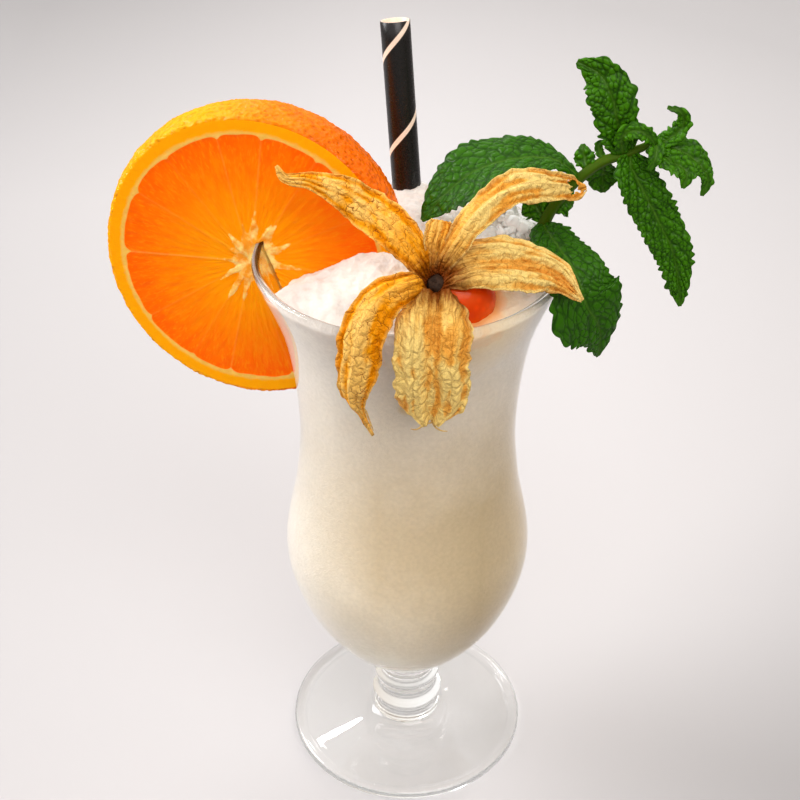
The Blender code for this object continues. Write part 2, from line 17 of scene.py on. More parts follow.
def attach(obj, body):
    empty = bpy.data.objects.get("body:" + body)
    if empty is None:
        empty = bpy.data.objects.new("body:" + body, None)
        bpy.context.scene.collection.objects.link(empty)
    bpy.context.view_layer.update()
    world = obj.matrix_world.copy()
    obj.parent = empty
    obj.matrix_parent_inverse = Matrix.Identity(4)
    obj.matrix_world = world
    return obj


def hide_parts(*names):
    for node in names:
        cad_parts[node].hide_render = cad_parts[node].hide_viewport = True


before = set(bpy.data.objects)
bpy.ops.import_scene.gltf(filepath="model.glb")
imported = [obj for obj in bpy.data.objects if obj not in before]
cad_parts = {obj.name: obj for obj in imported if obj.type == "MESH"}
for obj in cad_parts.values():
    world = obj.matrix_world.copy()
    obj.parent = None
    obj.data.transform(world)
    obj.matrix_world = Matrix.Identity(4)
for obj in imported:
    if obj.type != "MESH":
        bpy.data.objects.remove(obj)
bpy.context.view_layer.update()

bl_info = {
    "name": "Milkshake in a hurricane glass",
    "version": (1, 0, 0),
    "blender": (4, 5, 0),
    "location": "3D View > Sidebar > Milkshake",
    "description": "Builds the pieces that show of a garnished milkshake",
    "category": "Add Mesh",
}

MM = 0.001
PHOTO_SIDE = 800
ON_AXIS = 1e-6  # radius below which a ring is a single point

# Glass: (radius, height) along its outside, from the table up
FOOT_OUTLINE = ((0.0, 1.3), (12.0, 1.25), (22.0, 1.0), (30.0, 0.5), (33.6, 0.05), (35.2, 0.02), (36.3, 0.5),
                (36.85, 1.5), (36.5, 2.7), (35.3, 3.3), (34.0, 2.95), (33.0, 2.75), (28.0, 3.4), (23.0, 4.0),
                (17.6, 4.7), (13.4, 5.8), (11.0, 7.2), (10.3, 9.0), (10.9, 11.4), (10.9, 13.6), (9.7, 16.2),
                (9.4, 18.4), (10.2, 20.8), (8.5, 23.6), (8.2, 26.4))
BOWL_OUTLINE = ((10.4, 30.3), (20.8, 40.0), (31.2, 57.0), (36.0, 77.5), (31.8, 103.0), (30.4, 124.0),
                (33.2, 150.0), (40.7, 171.6))
LOWEST = 0.02
FLOOR = 36.2
FLOOR_TO = 41.0  # height from which the inside follows the wall
FLOOR_SHARES = (0.9, 0.78, 0.64, 0.5, 0.32, 0.16, 0.0)
FLOOR_CURVE = 2.4
LIP_STEPS = 12
TRAPPED_AFTER = 4.5  # bounces after which light in the glass goes straight on
GLASS_SIDES = 192

# Frozen drink
DRINK_EDGE = 171.6
DRINK_CROWN = 5.4
DRINK_CROWN_RADIUS = 37.0
DRINK_SIDES = 288
INTO_WALL = 0.15
CROWN_RINGS, CROWN_CROWDING, EDGE_FADE = 84, 0.92, 0.06
SIDE_RINGS, ABOVE_FLOOR = 60, 0.05
# How deep the drink dips beside the wheel and how far: at the middle, what each millimetre to the left adds,
# and where that starts
DIP_DEPTH = (4.2, 0.28, -8.0)
DIP_REACH = (4.0, 0.5, -12.5)
DIP_EDGE = 8.0
# Soft lumps: x, y, height and spread
LUMPS = ((25.0, 14.0, 4.6, 5.0), (2.0, 27.0, 5.2, 8.0), (14.0, 21.0, 1.6, 5.0), (-12.0, 31.0, 1.5, 5.0),
         (17.0, -3.0, 1.2, 5.0), (-16.0, -19.0, 1.0, 6.0))
CRUMB_HEAP = (26.0, 12.5, 8.5)  # x, y and spread of the loose frozen crumbs
CRUMBS = 60
CRUMBS_WITHIN = 35.5
SMALLEST_CRUMB, CRUMB_GROWTH = 0.7, 1.9
GOLDEN_TURN = 2.399963
CRUMB_LUMPS, CRUMB_LUMP_SIZE = 0.34, 1.1
HEAP_LENGTH, HEAP_DEPTH = 1.1, 0.8
CRUMB_LIFT, CRUMB_HEIGHT = 0.15, 0.85
# Size and height of the mound's clods and heaped crusts, and of its frozen grain and fine snow as shares
CLOD_SIZE, CLOD_HEIGHT = 9.0, 0.9
CRUST_SIZE, CRUST_HEIGHT, CRUST_SINK = 3.4, 1.4, 0.4
GRAIN_SIZE = 2.2
SNOW_SIZE, SNOW_SHARE = 0.8, 0.6

# Orange wheel
WHEEL_CENTRE = (-41.9, 5.7, 167.4)
WHEEL_TURN = math.radians(9.6)
WHEEL_LEAN = math.radians(5.0)
WHEEL_THICKNESS = 17.0
WHEEL_RADII = (39.6, 40.7, 38.7)
FLESH_RADIUS = 34.9
SKIN_FROM = 36.6
# Angle of each membrane between two segments, and how clearly it shows
MEMBRANES = ((-150, 0.25), (-128, 0.15), (-102.5, 0.4), (-83, 0.5), (-58, 0.3), (-27, 0.2), (4, 0.3),
             (38, 0.3), (72, 0.3), (102, 0.45), (120.5, 0.2), (147, 0.3), (180, 1.0))
CORE_CENTRE = (1.0, -1.0)
CORE_RADIUS, CORE_ARM = 5.8, 4.4
NOTCH_DEPTH, NOTCH_WIDTH = 1.8, 0.75
RING_FROM = 31.0  # radius from which the cut face's rings lie closer
FACE_INSET, BEVEL = 0.8, 0.35
NEAR_FACE, PEEL, FAR_FACE = 0, 1, 2
SAC_RELIEF, MEMBRANE_RELIEF, MEMBRANE_HALF = 0.16, 0.12, 0.45
WRINKLE_RELIEF, WRINKLE_SIZE = 0.7, 4.2
FLESH_FADE, CORE_FADE = 0.8, 1.5
SWELL_RELIEF, PIMPLE_RELIEF, PORE_RELIEF = 0.22, 0.5, 0.12
GLAND_SIZE = 1.5
OUTSIDE_FLESH = -5.0
WHEEL_SIDES = 480
SLIT_FROM, SLIT_TO = math.radians(126.0), math.radians(198.0)
SLIT_BOTTOM = 118.0
SLIT_ROOM = 0.05

# Paper straw
STRAW_TOP = (-3.5, 34.9, 222.6)
STRAW_BOTTOM = (9.5, 3.1, 42.0)
STRAW_RADIUS = 3.95
STRAW_PAPER = 0.5
STRAW_EDGE = 0.12
STRAW_SIDES = 72
STRAW_RINGS = 40
STRIPE_PITCH = 25.0
STRIPE_BELOW_TOP = 17.0
TURNS_AHEAD = 40.25  # keeps the stripe's sum above zero, and counts from the side that faces the viewer
SEAM_AT, SEAM_HALF = 0.18, 0.006  # in turns from the stripe's middle

# Cape gooseberry and its husk
BERRY_CENTRE = (11.8, -24.0, 174.0)
BERRY_RADIUS = 9.5
BERRY_DIMPLE, DIMPLE_SPREAD = 0.5, 0.25
BERRY_RINGS, BERRY_SIDES = 48, 96
HUSK_CENTRE = (6.2, -29.3, 181.1)
HUSK_FACING = (-0.53, -0.505, 0.678)
HUSK_SCAR_RADIUS = 2.4
HUSK_COLUMNS, HUSK_STEPS, ROWS_AT_SCAR = 44, 14, 8
SCAR_FOLD = 0.35
# How far the husk's edges, pleats, folds, crinkles, creases and flares stand out, and how large they are
RAGGEDNESS, PLEAT_RISE, FOLD_RISE = 0.08, 1.3, 0.6
CRINKLE_RISE, CREASE_RISE, FLARE_RISE = 0.62, 0.22, 1.3
CRINKLE_SIZE, CREASE_SIZE, FLARE_SIZE, EDGE_SIZE = 3.2, 1.3, 5.0, 2.4
HUSK_THROUGH = 0.14  # share of the light on the paper that passes through it
THINNEST = 0.3  # half width that a lobe or a leaf keeps at its tip
# The button over the scar: (share of its radius, height)
BUTTON_OUTLINE = ((0.0, 0.1), (0.35, 0.25), (0.6, 0.75), (0.85, 0.55), (1.0, 0.1), (1.5, -0.35))
BUTTON_SIDES, BUTTON_THICKNESS = 48, 0.3
BUTTON_SHARE, BUTTON_LOBES, BUTTON_LOBING = 0.8, 5.0, 0.09
THREAD_RADIUS, THREAD_TAPER, THREAD_FLATNESS, THREAD_SIDES = 0.42, 0.3, 0.6, 8
# Each lobe: first and last angle on the scar, the way it faces, (x, y, z, half width) along its middle,
# the number of its ribs, how high they stand, and how pale its paper is, from 0 to 1: partly how far it has
# dried, partly painted light on the lobes that face away from the main light
HUSK_LOBES = {
    "upper_left": (
        (108, 166), (-0.1, -0.8, 0.6),
        ((3.4, -26.4, 184.6, 3.2), (-2.2, -20.5, 189.5, 4.9), (-9.2, -14.5, 192.6, 5.2),
         (-16.7, -10.5, 196.0, 4.0), (-24.2, -8.0, 197.8, 2.2), (-30.2, -6.5, 197.6, 1.3),
         (-32.6, -5.6, 200.6, 0.4)),
        1, 1.1, 0.3,
    ),
    "middle_fold": (
        (90, 108), (-0.2, -0.8, 0.6),
        ((5.6, -26.6, 184.9, 1.0), (6.4, -23.6, 188.6, 2.9), (7.4, -20.9, 191.4, 3.4),
         (7.8, -19.6, 192.8, 2.2)),
        1, 0.6, 0.6,
    ),
    "upper_right": (
        (32, 90), (-0.3, -0.75, 0.6),
        ((8.9, -27.0, 186.4, 2.8), (14.6, -22.8, 193.6, 3.7), (20.6, -18.0, 197.6, 4.0),
         (27.3, -13.0, 198.5, 4.7), (35.8, -8.4, 196.2, 3.5), (41.2, -6.0, 194.6, 2.9),
         (43.8, -5.2, 194.6, 0.9)),
        1, 1.2, 0.75,
    ),
    "right": (
        (-40, 32), (0.0, -0.6, 0.8),
        ((10.6, -28.6, 183.6, 4.4), (17.0, -27.4, 185.0, 6.6), (26.8, -24.6, 183.2, 7.0),
         (35.0, -24.0, 180.2, 4.8), (42.0, -28.0, 175.6, 0.5)),
        2, 1.2, 0.9,
    ),
    "lower": (
        (236, 320), (0.0, -0.8, 0.5),
        ((6.2, -33.4, 180.4, 4.8), (6.0, -38.2, 178.4, 7.9), (5.5, -42.6, 174.6, 9.2),
         (5.3, -44.3, 167.6, 9.0), (5.5, -43.9, 160.2, 9.0), (5.4, -43.0, 154.6, 7.4),
         (5.3, -42.2, 151.0, 3.0)),
        2, 1.8, 0.85,
    ),
    "lower_left": (
        (166, 236), (-0.3, -0.75, 0.5),
        ((2.0, -32.4, 182.6, 3.2), (-5.6, -37.6, 182.2, 4.9), (-10.3, -42.0, 176.8, 5.8),
         (-12.3, -43.8, 166.6, 5.6), (-13.1, -43.2, 158.6, 3.6), (-11.8, -41.9, 152.6, 1.2),
         (-9.0, -40.4, 144.4, 0.4)),
        1, 1.5, 0.35,
    ),
}

# Holes worn into the upper right lobe near its tip: middle and radius
HUSK_HOLES = (((39.9, -6.6, 195.3), 2.0), ((38.0, -6.9, 193.4), 1.0), ((42.6, -5.6, 193.7), 1.0))
# Threads that curl from the tips of the two lower lobes
HUSK_THREADS = (
    ((4.6, -42.4, 154.5), (4.3, -42.0, 153.0), (4.0, -41.5, 149.7), (3.0, -41.5, 147.7), (1.7, -41.5, 146.8),
     (0.4, -41.5, 147.0)),
    ((4.7, -42.8, 155.3), (5.0, -42.2, 153.5), (5.5, -41.8, 150.2), (6.4, -41.8, 147.9), (7.9, -41.8, 146.7),
     (9.5, -41.8, 146.5)),
    ((7.8, -42.8, 153.6), (7.7, -42.3, 151.4), (6.6, -42.2, 149.9), (5.1, -42.2, 149.3),
     (3.7, -42.2, 148.8)),
    ((-12.9, -41.8, 155.7), (-12.6, -41.4, 154.6), (-11.7, -40.9, 153.1), (-10.6, -40.6, 151.8),
     (-9.8, -40.6, 149.3), (-8.8, -40.6, 145.8)),
    ((-12.7, -41.8, 155.0), (-11.5, -41.1, 152.0), (-10.8, -40.9, 149.6), (-9.2, -40.9, 147.3)),
)

# Mint sprig: its stalk, then leaves: the way each one faces at its foot and, where it turns, at its tip, and
# (x, y, z, half width) along its midrib
STALK = ((24.0, 4.0, 152.0), (29.5, 6.6, 165.0), (34.9, 8.0, 175.9), (38.4, 8.2, 183.4), (42.9, 8.6, 189.0),
         (49.0, 9.0, 194.3), (55.5, 9.0, 197.0), (62.2, 8.6, 200.0))
STALK_RADIUS = (1.5, 1.5, 1.5, 1.4, 1.35, 1.3, 1.2, 0.9)
STALK_SIDES, STALK_STEPS = 20, 14
LEAF_FOLD = 0.22
LEAF_THICKNESS = 0.3
MINT_THROUGH = 0.22  # share of the light on a leaf that passes through it
LEAF_MESH_SIZE = 0.24
BROAD_LEAF = 8.0  # half width of a leaf that counts as broad
LONG_LEAF = 20.0
VEIN_SPACING = 5.5
TOOTH_SPACING = 2.7
SMALLEST_TOOTH, TOOTH_GROWTH = 0.3, 1.3
VEIN_SLANT = 0.24
MIDRIB_HALF, VEIN_HALF = 0.42, 0.28
# Swells between the small veins, in a broad and in a small leaf: their size, and their height as a share
BROAD_SWELLS = (1.95, 0.9)
SMALL_SWELLS = (1.25, 1.5)
YOUTH_BROAD, YOUTH_LONG, YOUTH_SMALL = 0.1, 0.4, 0.55
LEAVES = {
    "big_left": (
        (0.1, -0.2, 1.0), (0.1, -0.12, 1.0),
        ((43.8, 8.8, 190.6, 0.9), (36.6, 8.4, 195.6, 5.2), (26.8, 8.0, 195.8, 9.2), (17.6, 7.0, 193.2, 10.3),
         (10.0, 5.0, 188.0, 7.6), (3.5, 3.0, 181.0, 0.6)),
    ),
    "over_rim": (
        (-0.5, 0.3, 2.0), (1.0, -1.2, -0.5),
        ((35.4, 7.8, 177.4, 1.3), (35.8, 2.6, 178.2, 4.4), (37.8, -5.0, 178.0, 6.2),
         (40.0, -12.0, 177.2, 7.8), (42.2, -16.6, 174.6, 9.2), (44.2, -18.4, 168.8, 11.6),
         (48.6, -15.8, 160.4, 7.2), (49.6, -13.2, 149.8, 0.5)),
    ),
    "upper": (
        (-0.1, -0.95, 0.1), None,
        ((54.2, 9.0, 197.2, 2.4), (53.8, 8.7, 200.4, 4.2), (52.2, 8.2, 206.5, 5.1), (50.4, 8.6, 212.7, 5.8),
         (47.0, 10.6, 217.9, 4.4), (41.6, 12.0, 220.4, 0.6)),
    ),
    "hanging": (
        (0.05, -0.9, 0.35), None,
        ((56.2, 8.8, 197.3, 2.2), (57.2, 7.4, 193.4, 4.7), (60.8, 6.6, 187.0, 5.5), (65.9, 6.4, 178.0, 5.6),
         (70.3, 6.0, 169.4, 4.9), (72.4, 5.5, 161.0, 3.2), (73.6, 5.0, 154.0, 0.4)),
    ),
    "curled": (
        (-0.5, -0.7, 0.5), None,
        ((61.0, 8.6, 199.6, 1.2), (65.4, 8.4, 200.9, 2.3), (69.0, 8.2, 204.8, 2.1), (68.2, 8.0, 208.6, 1.2),
         (64.4, 7.8, 210.0, 0.4)),
    ),
    "far_right": (
        (0.3, -0.6, 0.75), None,
        ((61.4, 8.4, 199.6, 1.2), (67.4, 7.6, 199.0, 3.8), (73.2, 6.6, 195.8, 3.7), (76.2, 5.8, 191.4, 2.0),
         (75.4, 5.2, 187.0, 0.4)),
    ),
    "low_right": (
        (0.1, -0.7, 0.7), None,
        ((60.6, 7.6, 199.0, 1.2), (65.6, 4.6, 197.4, 2.8), (70.0, 3.0, 194.6, 2.4), (69.4, 1.8, 190.8, 0.4)),
    ),
    "top_fold": (
        (-0.1, -0.9, 0.4), None,
        ((54.6, 8.4, 197.4, 1.0), (53.5, 6.4, 201.6, 1.8), (54.6, 5.4, 204.4, 2.0), (57.3, 5.0, 205.0, 2.0),
         (60.0, 5.0, 203.6, 1.7), (62.0, 5.6, 201.2, 0.6)),
    ),
    "top_curl": (
        (0.1, -0.9, 0.3), None,
        ((61.2, 8.2, 199.8, 1.2), (62.2, 5.4, 200.6, 1.9), (61.9, 3.4, 198.4, 1.8), (60.6, 2.6, 195.4, 0.4)),
    ),
    "hook": (
        (-0.2, -0.9, 0.3), None,
        ((50.0, 9.2, 195.2, 0.8), (48.8, 10.0, 197.3, 1.0), (48.6, 10.4, 199.0, 0.9),
         (49.9, 10.6, 199.8, 0.3)),
    ),
    "behind": (
        (-0.1, -0.9, 0.2), None,
        ((50.2, 9.4, 195.0, 1.0), (50.6, 12.4, 190.6, 4.0), (50.8, 13.6, 186.6, 3.4),
         (51.4, 14.0, 183.6, 0.5)),
    ),
    "stalk_pair": (
        (-0.2, -0.9, 0.3), None,
        ((46.4, 8.8, 192.2, 1.0), (45.2, 10.4, 195.4, 2.6), (44.6, 11.8, 198.4, 0.4)),
    ),
    "foot_left": (
        (-0.2, -0.8, 0.5), None,
        ((35.8, 8.4, 178.2, 1.2), (33.2, 10.8, 181.6, 4.2), (30.4, 12.0, 184.0, 0.5)),
    ),
    "foot_back": (
        (0.0, -0.8, 0.5), None,
        ((36.8, 8.8, 180.0, 1.2), (36.4, 12.4, 184.0, 4.0), (35.0, 14.2, 187.6, 0.5)),
    ),
    "foot_right": (
        (0.2, -0.8, 0.5), None,
        ((37.6, 8.6, 181.4, 1.2), (40.8, 10.4, 182.6, 4.0), (43.4, 12.0, 181.0, 0.5)),
    ),
}

# Camera, matched to the photo
CAMERA_PLACE = (-2.2, -314.2, 348.5)
CAMERA_DOWN = math.radians(35.26)
CAMERA_FOCAL_PIXELS = 1377.0
SENSOR_WIDTH = 36.0
NEAR_CLIP = 0.01

# Stage: half the floor's side and its level, in metres, and the lights: place, target, width and height,
# colour, whether shiny things mirror it, and whether it lights dull things
FLOOR_HALF = 4.0
FLOOR_LEVEL = -0.00002
LIGHTS = {
    "main": ((-1080.0, 240.0, 740.0), (0.0, 0.0, 110.0), (640.0, 640.0), (0.98, 0.99, 1.0), True, True),
    "back": ((300.0, 700.0, 620.0), (0.0, 0.0, 150.0), (500.0, 500.0), (1.0, 0.99, 0.98), False, True),
    "window": ((-270.0, 530.0, 790.0), (0.0, 0.0, 90.0), (150.0, 26.0), (1.0, 1.0, 1.0), True, False),
    "fill": ((260.0, -640.0, 900.0), (10.0, -10.0, 180.0), (700.0, 700.0), (1.0, 0.99, 0.98), True, True),
}


# Helpers for shapes


def smooth_path(points, steps):
    """A curve through the given points, with this many steps from each one to the next."""
    known = [np.array(point, float) for point in points]
    known = [2 * known[0] - known[1]] + known + [2 * known[-1] - known[-2]]
    path = []
    for before, start, end, after in zip(known, known[1:], known[2:], known[3:]):
        for step in range(steps):
            t = step / steps
            pull = (end - before) * t
            bend = (2 * before - 5 * start + 4 * end - after) * t**2
            swing = (3 * start - before - 3 * end + after) * t**3
            path.append(start + (pull + bend + swing) / 2)
    path.append(known[-2])
    return path


def strip_faces(first, second, closed):
    """Faces between two rows of point numbers, joined end to end where closed, with no corner named twice."""
    count = len(first)
    faces = []
    for i in range(count if closed else count - 1):
        j = (i + 1) % count
        faces.append(tuple(dict.fromkeys((first[i], first[j], second[j], second[i]))))
    return faces


def skin(rows, closed=True, capped=False):
    """Points and faces of a skin through rows of points. A row of one point is a tip; caps close the ends."""
    longest = max(len(row) for row in rows)
    points, numbers, faces = [], [], []
    for row in rows:
        new = list(range(len(points), len(points) + len(row)))
        numbers.append(new * longest if len(row) == 1 else new)
        points += row
    for first, second in zip(numbers, numbers[1:]):
        faces += strip_faces(first, second, closed)
    if capped:
        faces += [tuple(numbers[0][::-1]), tuple(numbers[-1])]
    return points, faces


def joined(shapes):
    """Several shapes, each its points and faces, as one."""
    points, faces = [], []
    for more_points, more_faces in shapes:
        faces += [tuple(len(points) + corner for corner in face) for face in more_faces]
        points += more_points
    return points, faces


def turned(outline, sides):
    """Points and faces of a body turned round Z, from (radius, height) points, with tips where it meets Z."""
    angles = np.linspace(0.0, math.tau, sides, endpoint=False)
    rows = []
    for radius, height in outline:
        ring = list(zip(radius * np.cos(angles), radius * np.sin(angles), [height] * sides))
        rows.append(ring if radius >= ON_AXIS else [(0.0, 0.0, height)])
    return skin(rows)


def square_to(way):
    """The direction nearest to +X that is square to a way, and the direction square to both."""
    right = (Vector((1.0, 0.0, 0.0)) - way * way.x).normalized()
    return right, way.cross(right)


def new_object(name, points, faces):
    """An object in the scene, from points in millimetres, with its faces turned outwards."""
    mesh = bpy.data.meshes.new(name)
    mesh.from_pydata([tuple(point) for point in np.asarray(points, float) * MM], [], faces)
    shape = bmesh.new()
    shape.from_mesh(mesh)
    bmesh.ops.recalc_face_normals(shape, faces=shape.faces)
    shape.to_mesh(mesh)
    shape.free()
    thing = bpy.data.objects.new(name, mesh)
    bpy.context.scene.collection.objects.link(thing)
    return thing


def add_piece(name, shape, material, node, fields=None, place=None):
    """A piece that stands for a node's solid, from a shape: its points in millimetres and its faces.

    Fields are numbers kept at its points for its material, and place puts it in the part's frame.
    """
    piece = new_object(name, *shape)
    for field, values in (fields or {}).items():
        numbers = piece.data.attributes.new(field, "FLOAT", "POINT").data
        numbers.foreach_set("value", np.asarray(values, np.float32))
    piece.data.materials.append(material)
    piece.data.shade_smooth()
    if place:
        piece.matrix_world = place
    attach(piece, "root")
    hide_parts(node)
    return piece


def roughness_at(point, scale, octaves=3):
    """Cloudy noise from about -1 to 1 at a point in millimetres, for features of a size in millimetres."""
    return noise.fractal(Vector(point) / scale, 1.0, 2.0, octaves)


def frames_along(path, facing, facing_at_tip=None):
    """Side and face directions along a path, for a blade that faces one way or turns to another."""
    frames = []
    for index in range(len(path)):
        before = path[max(index - 1, 0)][:3]
        after = path[min(index + 1, len(path) - 1)][:3]
        along = Vector(after - before).normalized()
        turned_facing = Vector(facing).lerp(Vector(facing_at_tip or facing), index / (len(path) - 1))
        side = along.cross(turned_facing).normalized()
        frames.append((side, side.cross(along).normalized()))
    return frames


def give_thickness(piece, thickness):
    """Gives a sheet its thickness in millimetres, half to each side."""
    solidify = piece.modifiers.new("thickness", "SOLIDIFY")
    solidify.thickness = thickness * MM
    solidify.offset = 0.0


# Helpers for materials


def linear(hex_colour):
    """A colour written as sRGB hex, in the linear values that shaders take."""
    channels = [int(hex_colour[start:start + 2], 16) / 255 for start in (0, 2, 4)]
    return (*(c / 12.92 if c <= 0.04045 else ((c + 0.055) / 1.055) ** 2.4 for c in channels), 1.0)


def fill(node, inputs):
    """Fills a node's inputs, each with a value, an output, or the first output of a node."""
    for name, value in inputs.items():
        if isinstance(value, bpy.types.Node):
            value = next(output for output in value.outputs if output.enabled)
        if isinstance(value, bpy.types.NodeSocket):
            node.id_data.links.new(value, node.inputs[name])
        else:
            node.inputs[name].default_value = value


def add_node(tree, kind, *values, **named):
    """Adds a node. The values fill its inputs in their order, as fill does.

    A name with a capital is an input, and any other is a setting. Mix nodes mix colours.
    """
    node = tree.nodes.new("ShaderNode" + kind)
    if kind == "Mix":
        node.data_type = "RGBA"
    for name, value in named.items():
        if name.islower():
            setattr(node, name, value)
    shown = [number for number, entry in enumerate(node.inputs) if entry.enabled]
    fill(node, dict(zip(shown, values)))
    fill(node, {name: value for name, value in named.items() if not name.islower()})
    return node


def start_material(name):
    """A new material: itself, the function that adds nodes to it, its Principled shader, and places on it."""
    material = bpy.data.materials.new(name)
    material.use_nodes = True
    add = partial(add_node, material.node_tree)
    return material, add, material.node_tree.nodes["Principled BSDF"], add("TexCoord").outputs["Object"]


def fields_of(add, *names):
    """The numbers that a piece keeps at its points for its material, under these names."""
    return (add("Attribute", attribute_name=name).outputs["Fac"] for name in names)


def mix_shaders(material, add, share, first, second):
    """Makes a mix of two shaders what a material shows."""
    fill(material.node_tree.nodes["Material Output"], {"Surface": add("MixShader", share, first, second)})


# What a user may change


def colour_property(name, description, hex_colour):
    """A colour that a user may change."""
    return FloatVectorProperty(name=name, description=description, subtype="COLOR", size=4, min=0.0, max=1.0,
                               default=linear(hex_colour))


def length_property(name, description, millimetres, largest):
    """A length that a user may change."""
    return FloatProperty(name=name, description=description, unit="LENGTH", subtype="DISTANCE", precision=5,
                         default=millimetres * MM, min=0.0, max=largest * MM)


def power_property(name, description, watts):
    """The power of a light, which a user may change."""
    return FloatProperty(name=name, description=description, unit="POWER", default=watts, min=0.0)


class GlassSettings(bpy.types.PropertyGroup):
    wall: length_property("Wall", "Thickness of the bowl's wall", 2.2, 4.0)
    tint: colour_property("Tint", "Colour of light that has passed the glass", "F6F5F3")


class DrinkSettings(bpy.types.PropertyGroup):
    crown_colour: colour_property("Crown", "Colour of the frosty top", "ECE6E0")
    crumb_colour: colour_property("Crumbs", "Colour of the loose frozen crumbs", "FFFFFF")
    # Painted shade on the drink's right side, away from the main light
    deep_tone_and_shade_colour: colour_property("Deep", "Colour of the drink on the side with less ice", "CDBB9B")
    # Paler upper band: partly the drink's icier top, partly painted light
    upper_colour: colour_property("Upper", "Colour of the drink below the glass's lip", "F3EADF")
    # Painted light on the drink's left side, which faces the main light
    painted_lit_side_colour: colour_property("Thin", "Colour of the drink where it is palest against the glass", "E9E4DD")
    body_colour: colour_property("Body", "Colour of the drink in the bowl", "DAC9AD")
    low_colour: colour_property("Bottom", "Colour of the melted drink low in the bowl", "FBF2E2")
    fleck_colour: colour_property("Flecks", "Colour of the bits of fruit in it", "D9B878")
    frost: length_property("Frost", "Height of the frozen grain on top", 0.45, 2.0)


class OrangeSettings(bpy.types.PropertyGroup):
    flesh_colour: colour_property("Flesh", "Colour of the flesh near the middle", "FF9C00")
    rim_flesh_colour: colour_property("Outer flesh", "Colour of the flesh next to the peel", "FF6E00")
    pith_colour: colour_property("Pith", "Colour of the core and the membranes", "FFD98A")
    albedo_colour: colour_property("White of the peel", "Colour of the layer under the skin", "F9D078")
    # The peel runs from the skin colour on the wheel's left to the deep skin colour on its right
    skin_colour: colour_property("Skin", "Colour of the peel on the lighter side", "FAA800")
    deep_skin_colour: colour_property("Deep skin", "Colour of the peel on the riper side", "F07400")


class StrawSettings(bpy.types.PropertyGroup):
    paper_colour: colour_property("Paper", "Colour of the paper outside", "080605")
    stripe_colour: colour_property("Stripe", "Colour of the stripe and of the inside", "F2DCC8")
    stripe_width: length_property("Stripe width", "Width of the stripe along the straw", 1.75, 6.0)


class HuskSettings(bpy.types.PropertyGroup):
    paper_colour: colour_property("Paper", "Colour of the dry husk", "FFAE00")
    # Also the colour of the painted highlights on the husk's ridges and edges
    pale_colour: colour_property("Pale paper", "Colour where the husk is thinnest", "FFE08E")
    # The husk's own brown next to the scar
    deep_tone_and_shade_colour: colour_property("Deep paper", "Colour near the stalk's scar", "7E3C04")
    # Painted shade down in the husk's pleats
    pleat_shade_colour: colour_property("Valleys", "Colour of the husk down in its pleats", "E08400")
    vein_colour: colour_property("Veins", "Colour of the veins", "864406")
    thickness: length_property("Thickness", "Thickness of the paper", 0.22, 1.0)


class BerrySettings(bpy.types.PropertyGroup):
    skin_colour: colour_property("Skin", "Colour of the berry's skin", "C83000")
    pale_colour: colour_property("Pale skin", "Colour of the berry's lighter side", "FA6A00")


class MintSettings(bpy.types.PropertyGroup):
    leaf_colour: colour_property("Leaf", "Colour of the leaves", "376C06")
    young_colour: colour_property("Young leaf", "Colour of the small leaves near the tip", "5C9C00")
    # Painted shade in the creases between the leaves' swells
    deep_tone_and_shade_colour: colour_property("Deep leaf", "Colour in the folds of the leaves", "1B4206")
    vein_colour: colour_property("Veins", "Colour of the midribs and veins", "6FA030")
    stalk_colour: colour_property("Stalk", "Colour of the stalk", "4C6604")
    quilting: length_property("Quilting", "Height of the puckers between the veins", 0.45, 1.5)


class StageSettings(bpy.types.PropertyGroup):
    floor_colour: colour_property("Floor", "Colour of the plain floor", "C0BDBE")
    main_power: power_property("Main light", "Power of the main light", 8.6)
    back_power: power_property("Back light", "Power of the light behind", 3.0)
    window_power: power_property("Window light", "Power of the small light that shiny things mirror", 0.6)
    fill_power: power_property("Fill light", "Power of the fill light", 4.0)


# Glass


def bowl_outside():
    """(radius, height) along the outside of the bowl, from the stem to the lip."""
    return smooth_path(BOWL_OUTLINE, 8)


def bowl_offset(depth):
    """The outside of the bowl moved inwards by a depth."""
    outside = bowl_outside()
    moved = []
    for index, point in enumerate(outside):
        before = outside[max(index - 1, 0)]
        after = outside[min(index + 1, len(outside) - 1)]
        along = (after - before) / np.linalg.norm(after - before)
        moved.append(point + depth * np.array((-along[1], along[0])))
    return moved


def bowl_inside(depth):
    """The inside of the bowl at a depth below its outside, from the lip to the middle of its floor."""
    wall = [point for point in bowl_offset(depth) if point[1] > FLOOR_TO]
    radius, height = wall[0]
    rise = height - FLOOR
    floor = [np.array((radius * share, FLOOR + rise * share**FLOOR_CURVE)) for share in FLOOR_SHARES]
    return wall[::-1] + floor


def lip(depth):
    """The rounded edge between the outside and the inside of the bowl."""
    outer, inner = bowl_outside()[-1], bowl_offset(depth)[-1]
    middle = (outer + inner) / 2
    spoke = outer - middle
    arc = []
    for step in range(1, LIP_STEPS):
        angle = math.pi * step / LIP_STEPS
        arc.append(middle + np.array((
            spoke[0] * math.cos(angle) - spoke[1] * math.sin(angle),
            spoke[0] * math.sin(angle) + spoke[1] * math.cos(angle),
        )))
    return arc


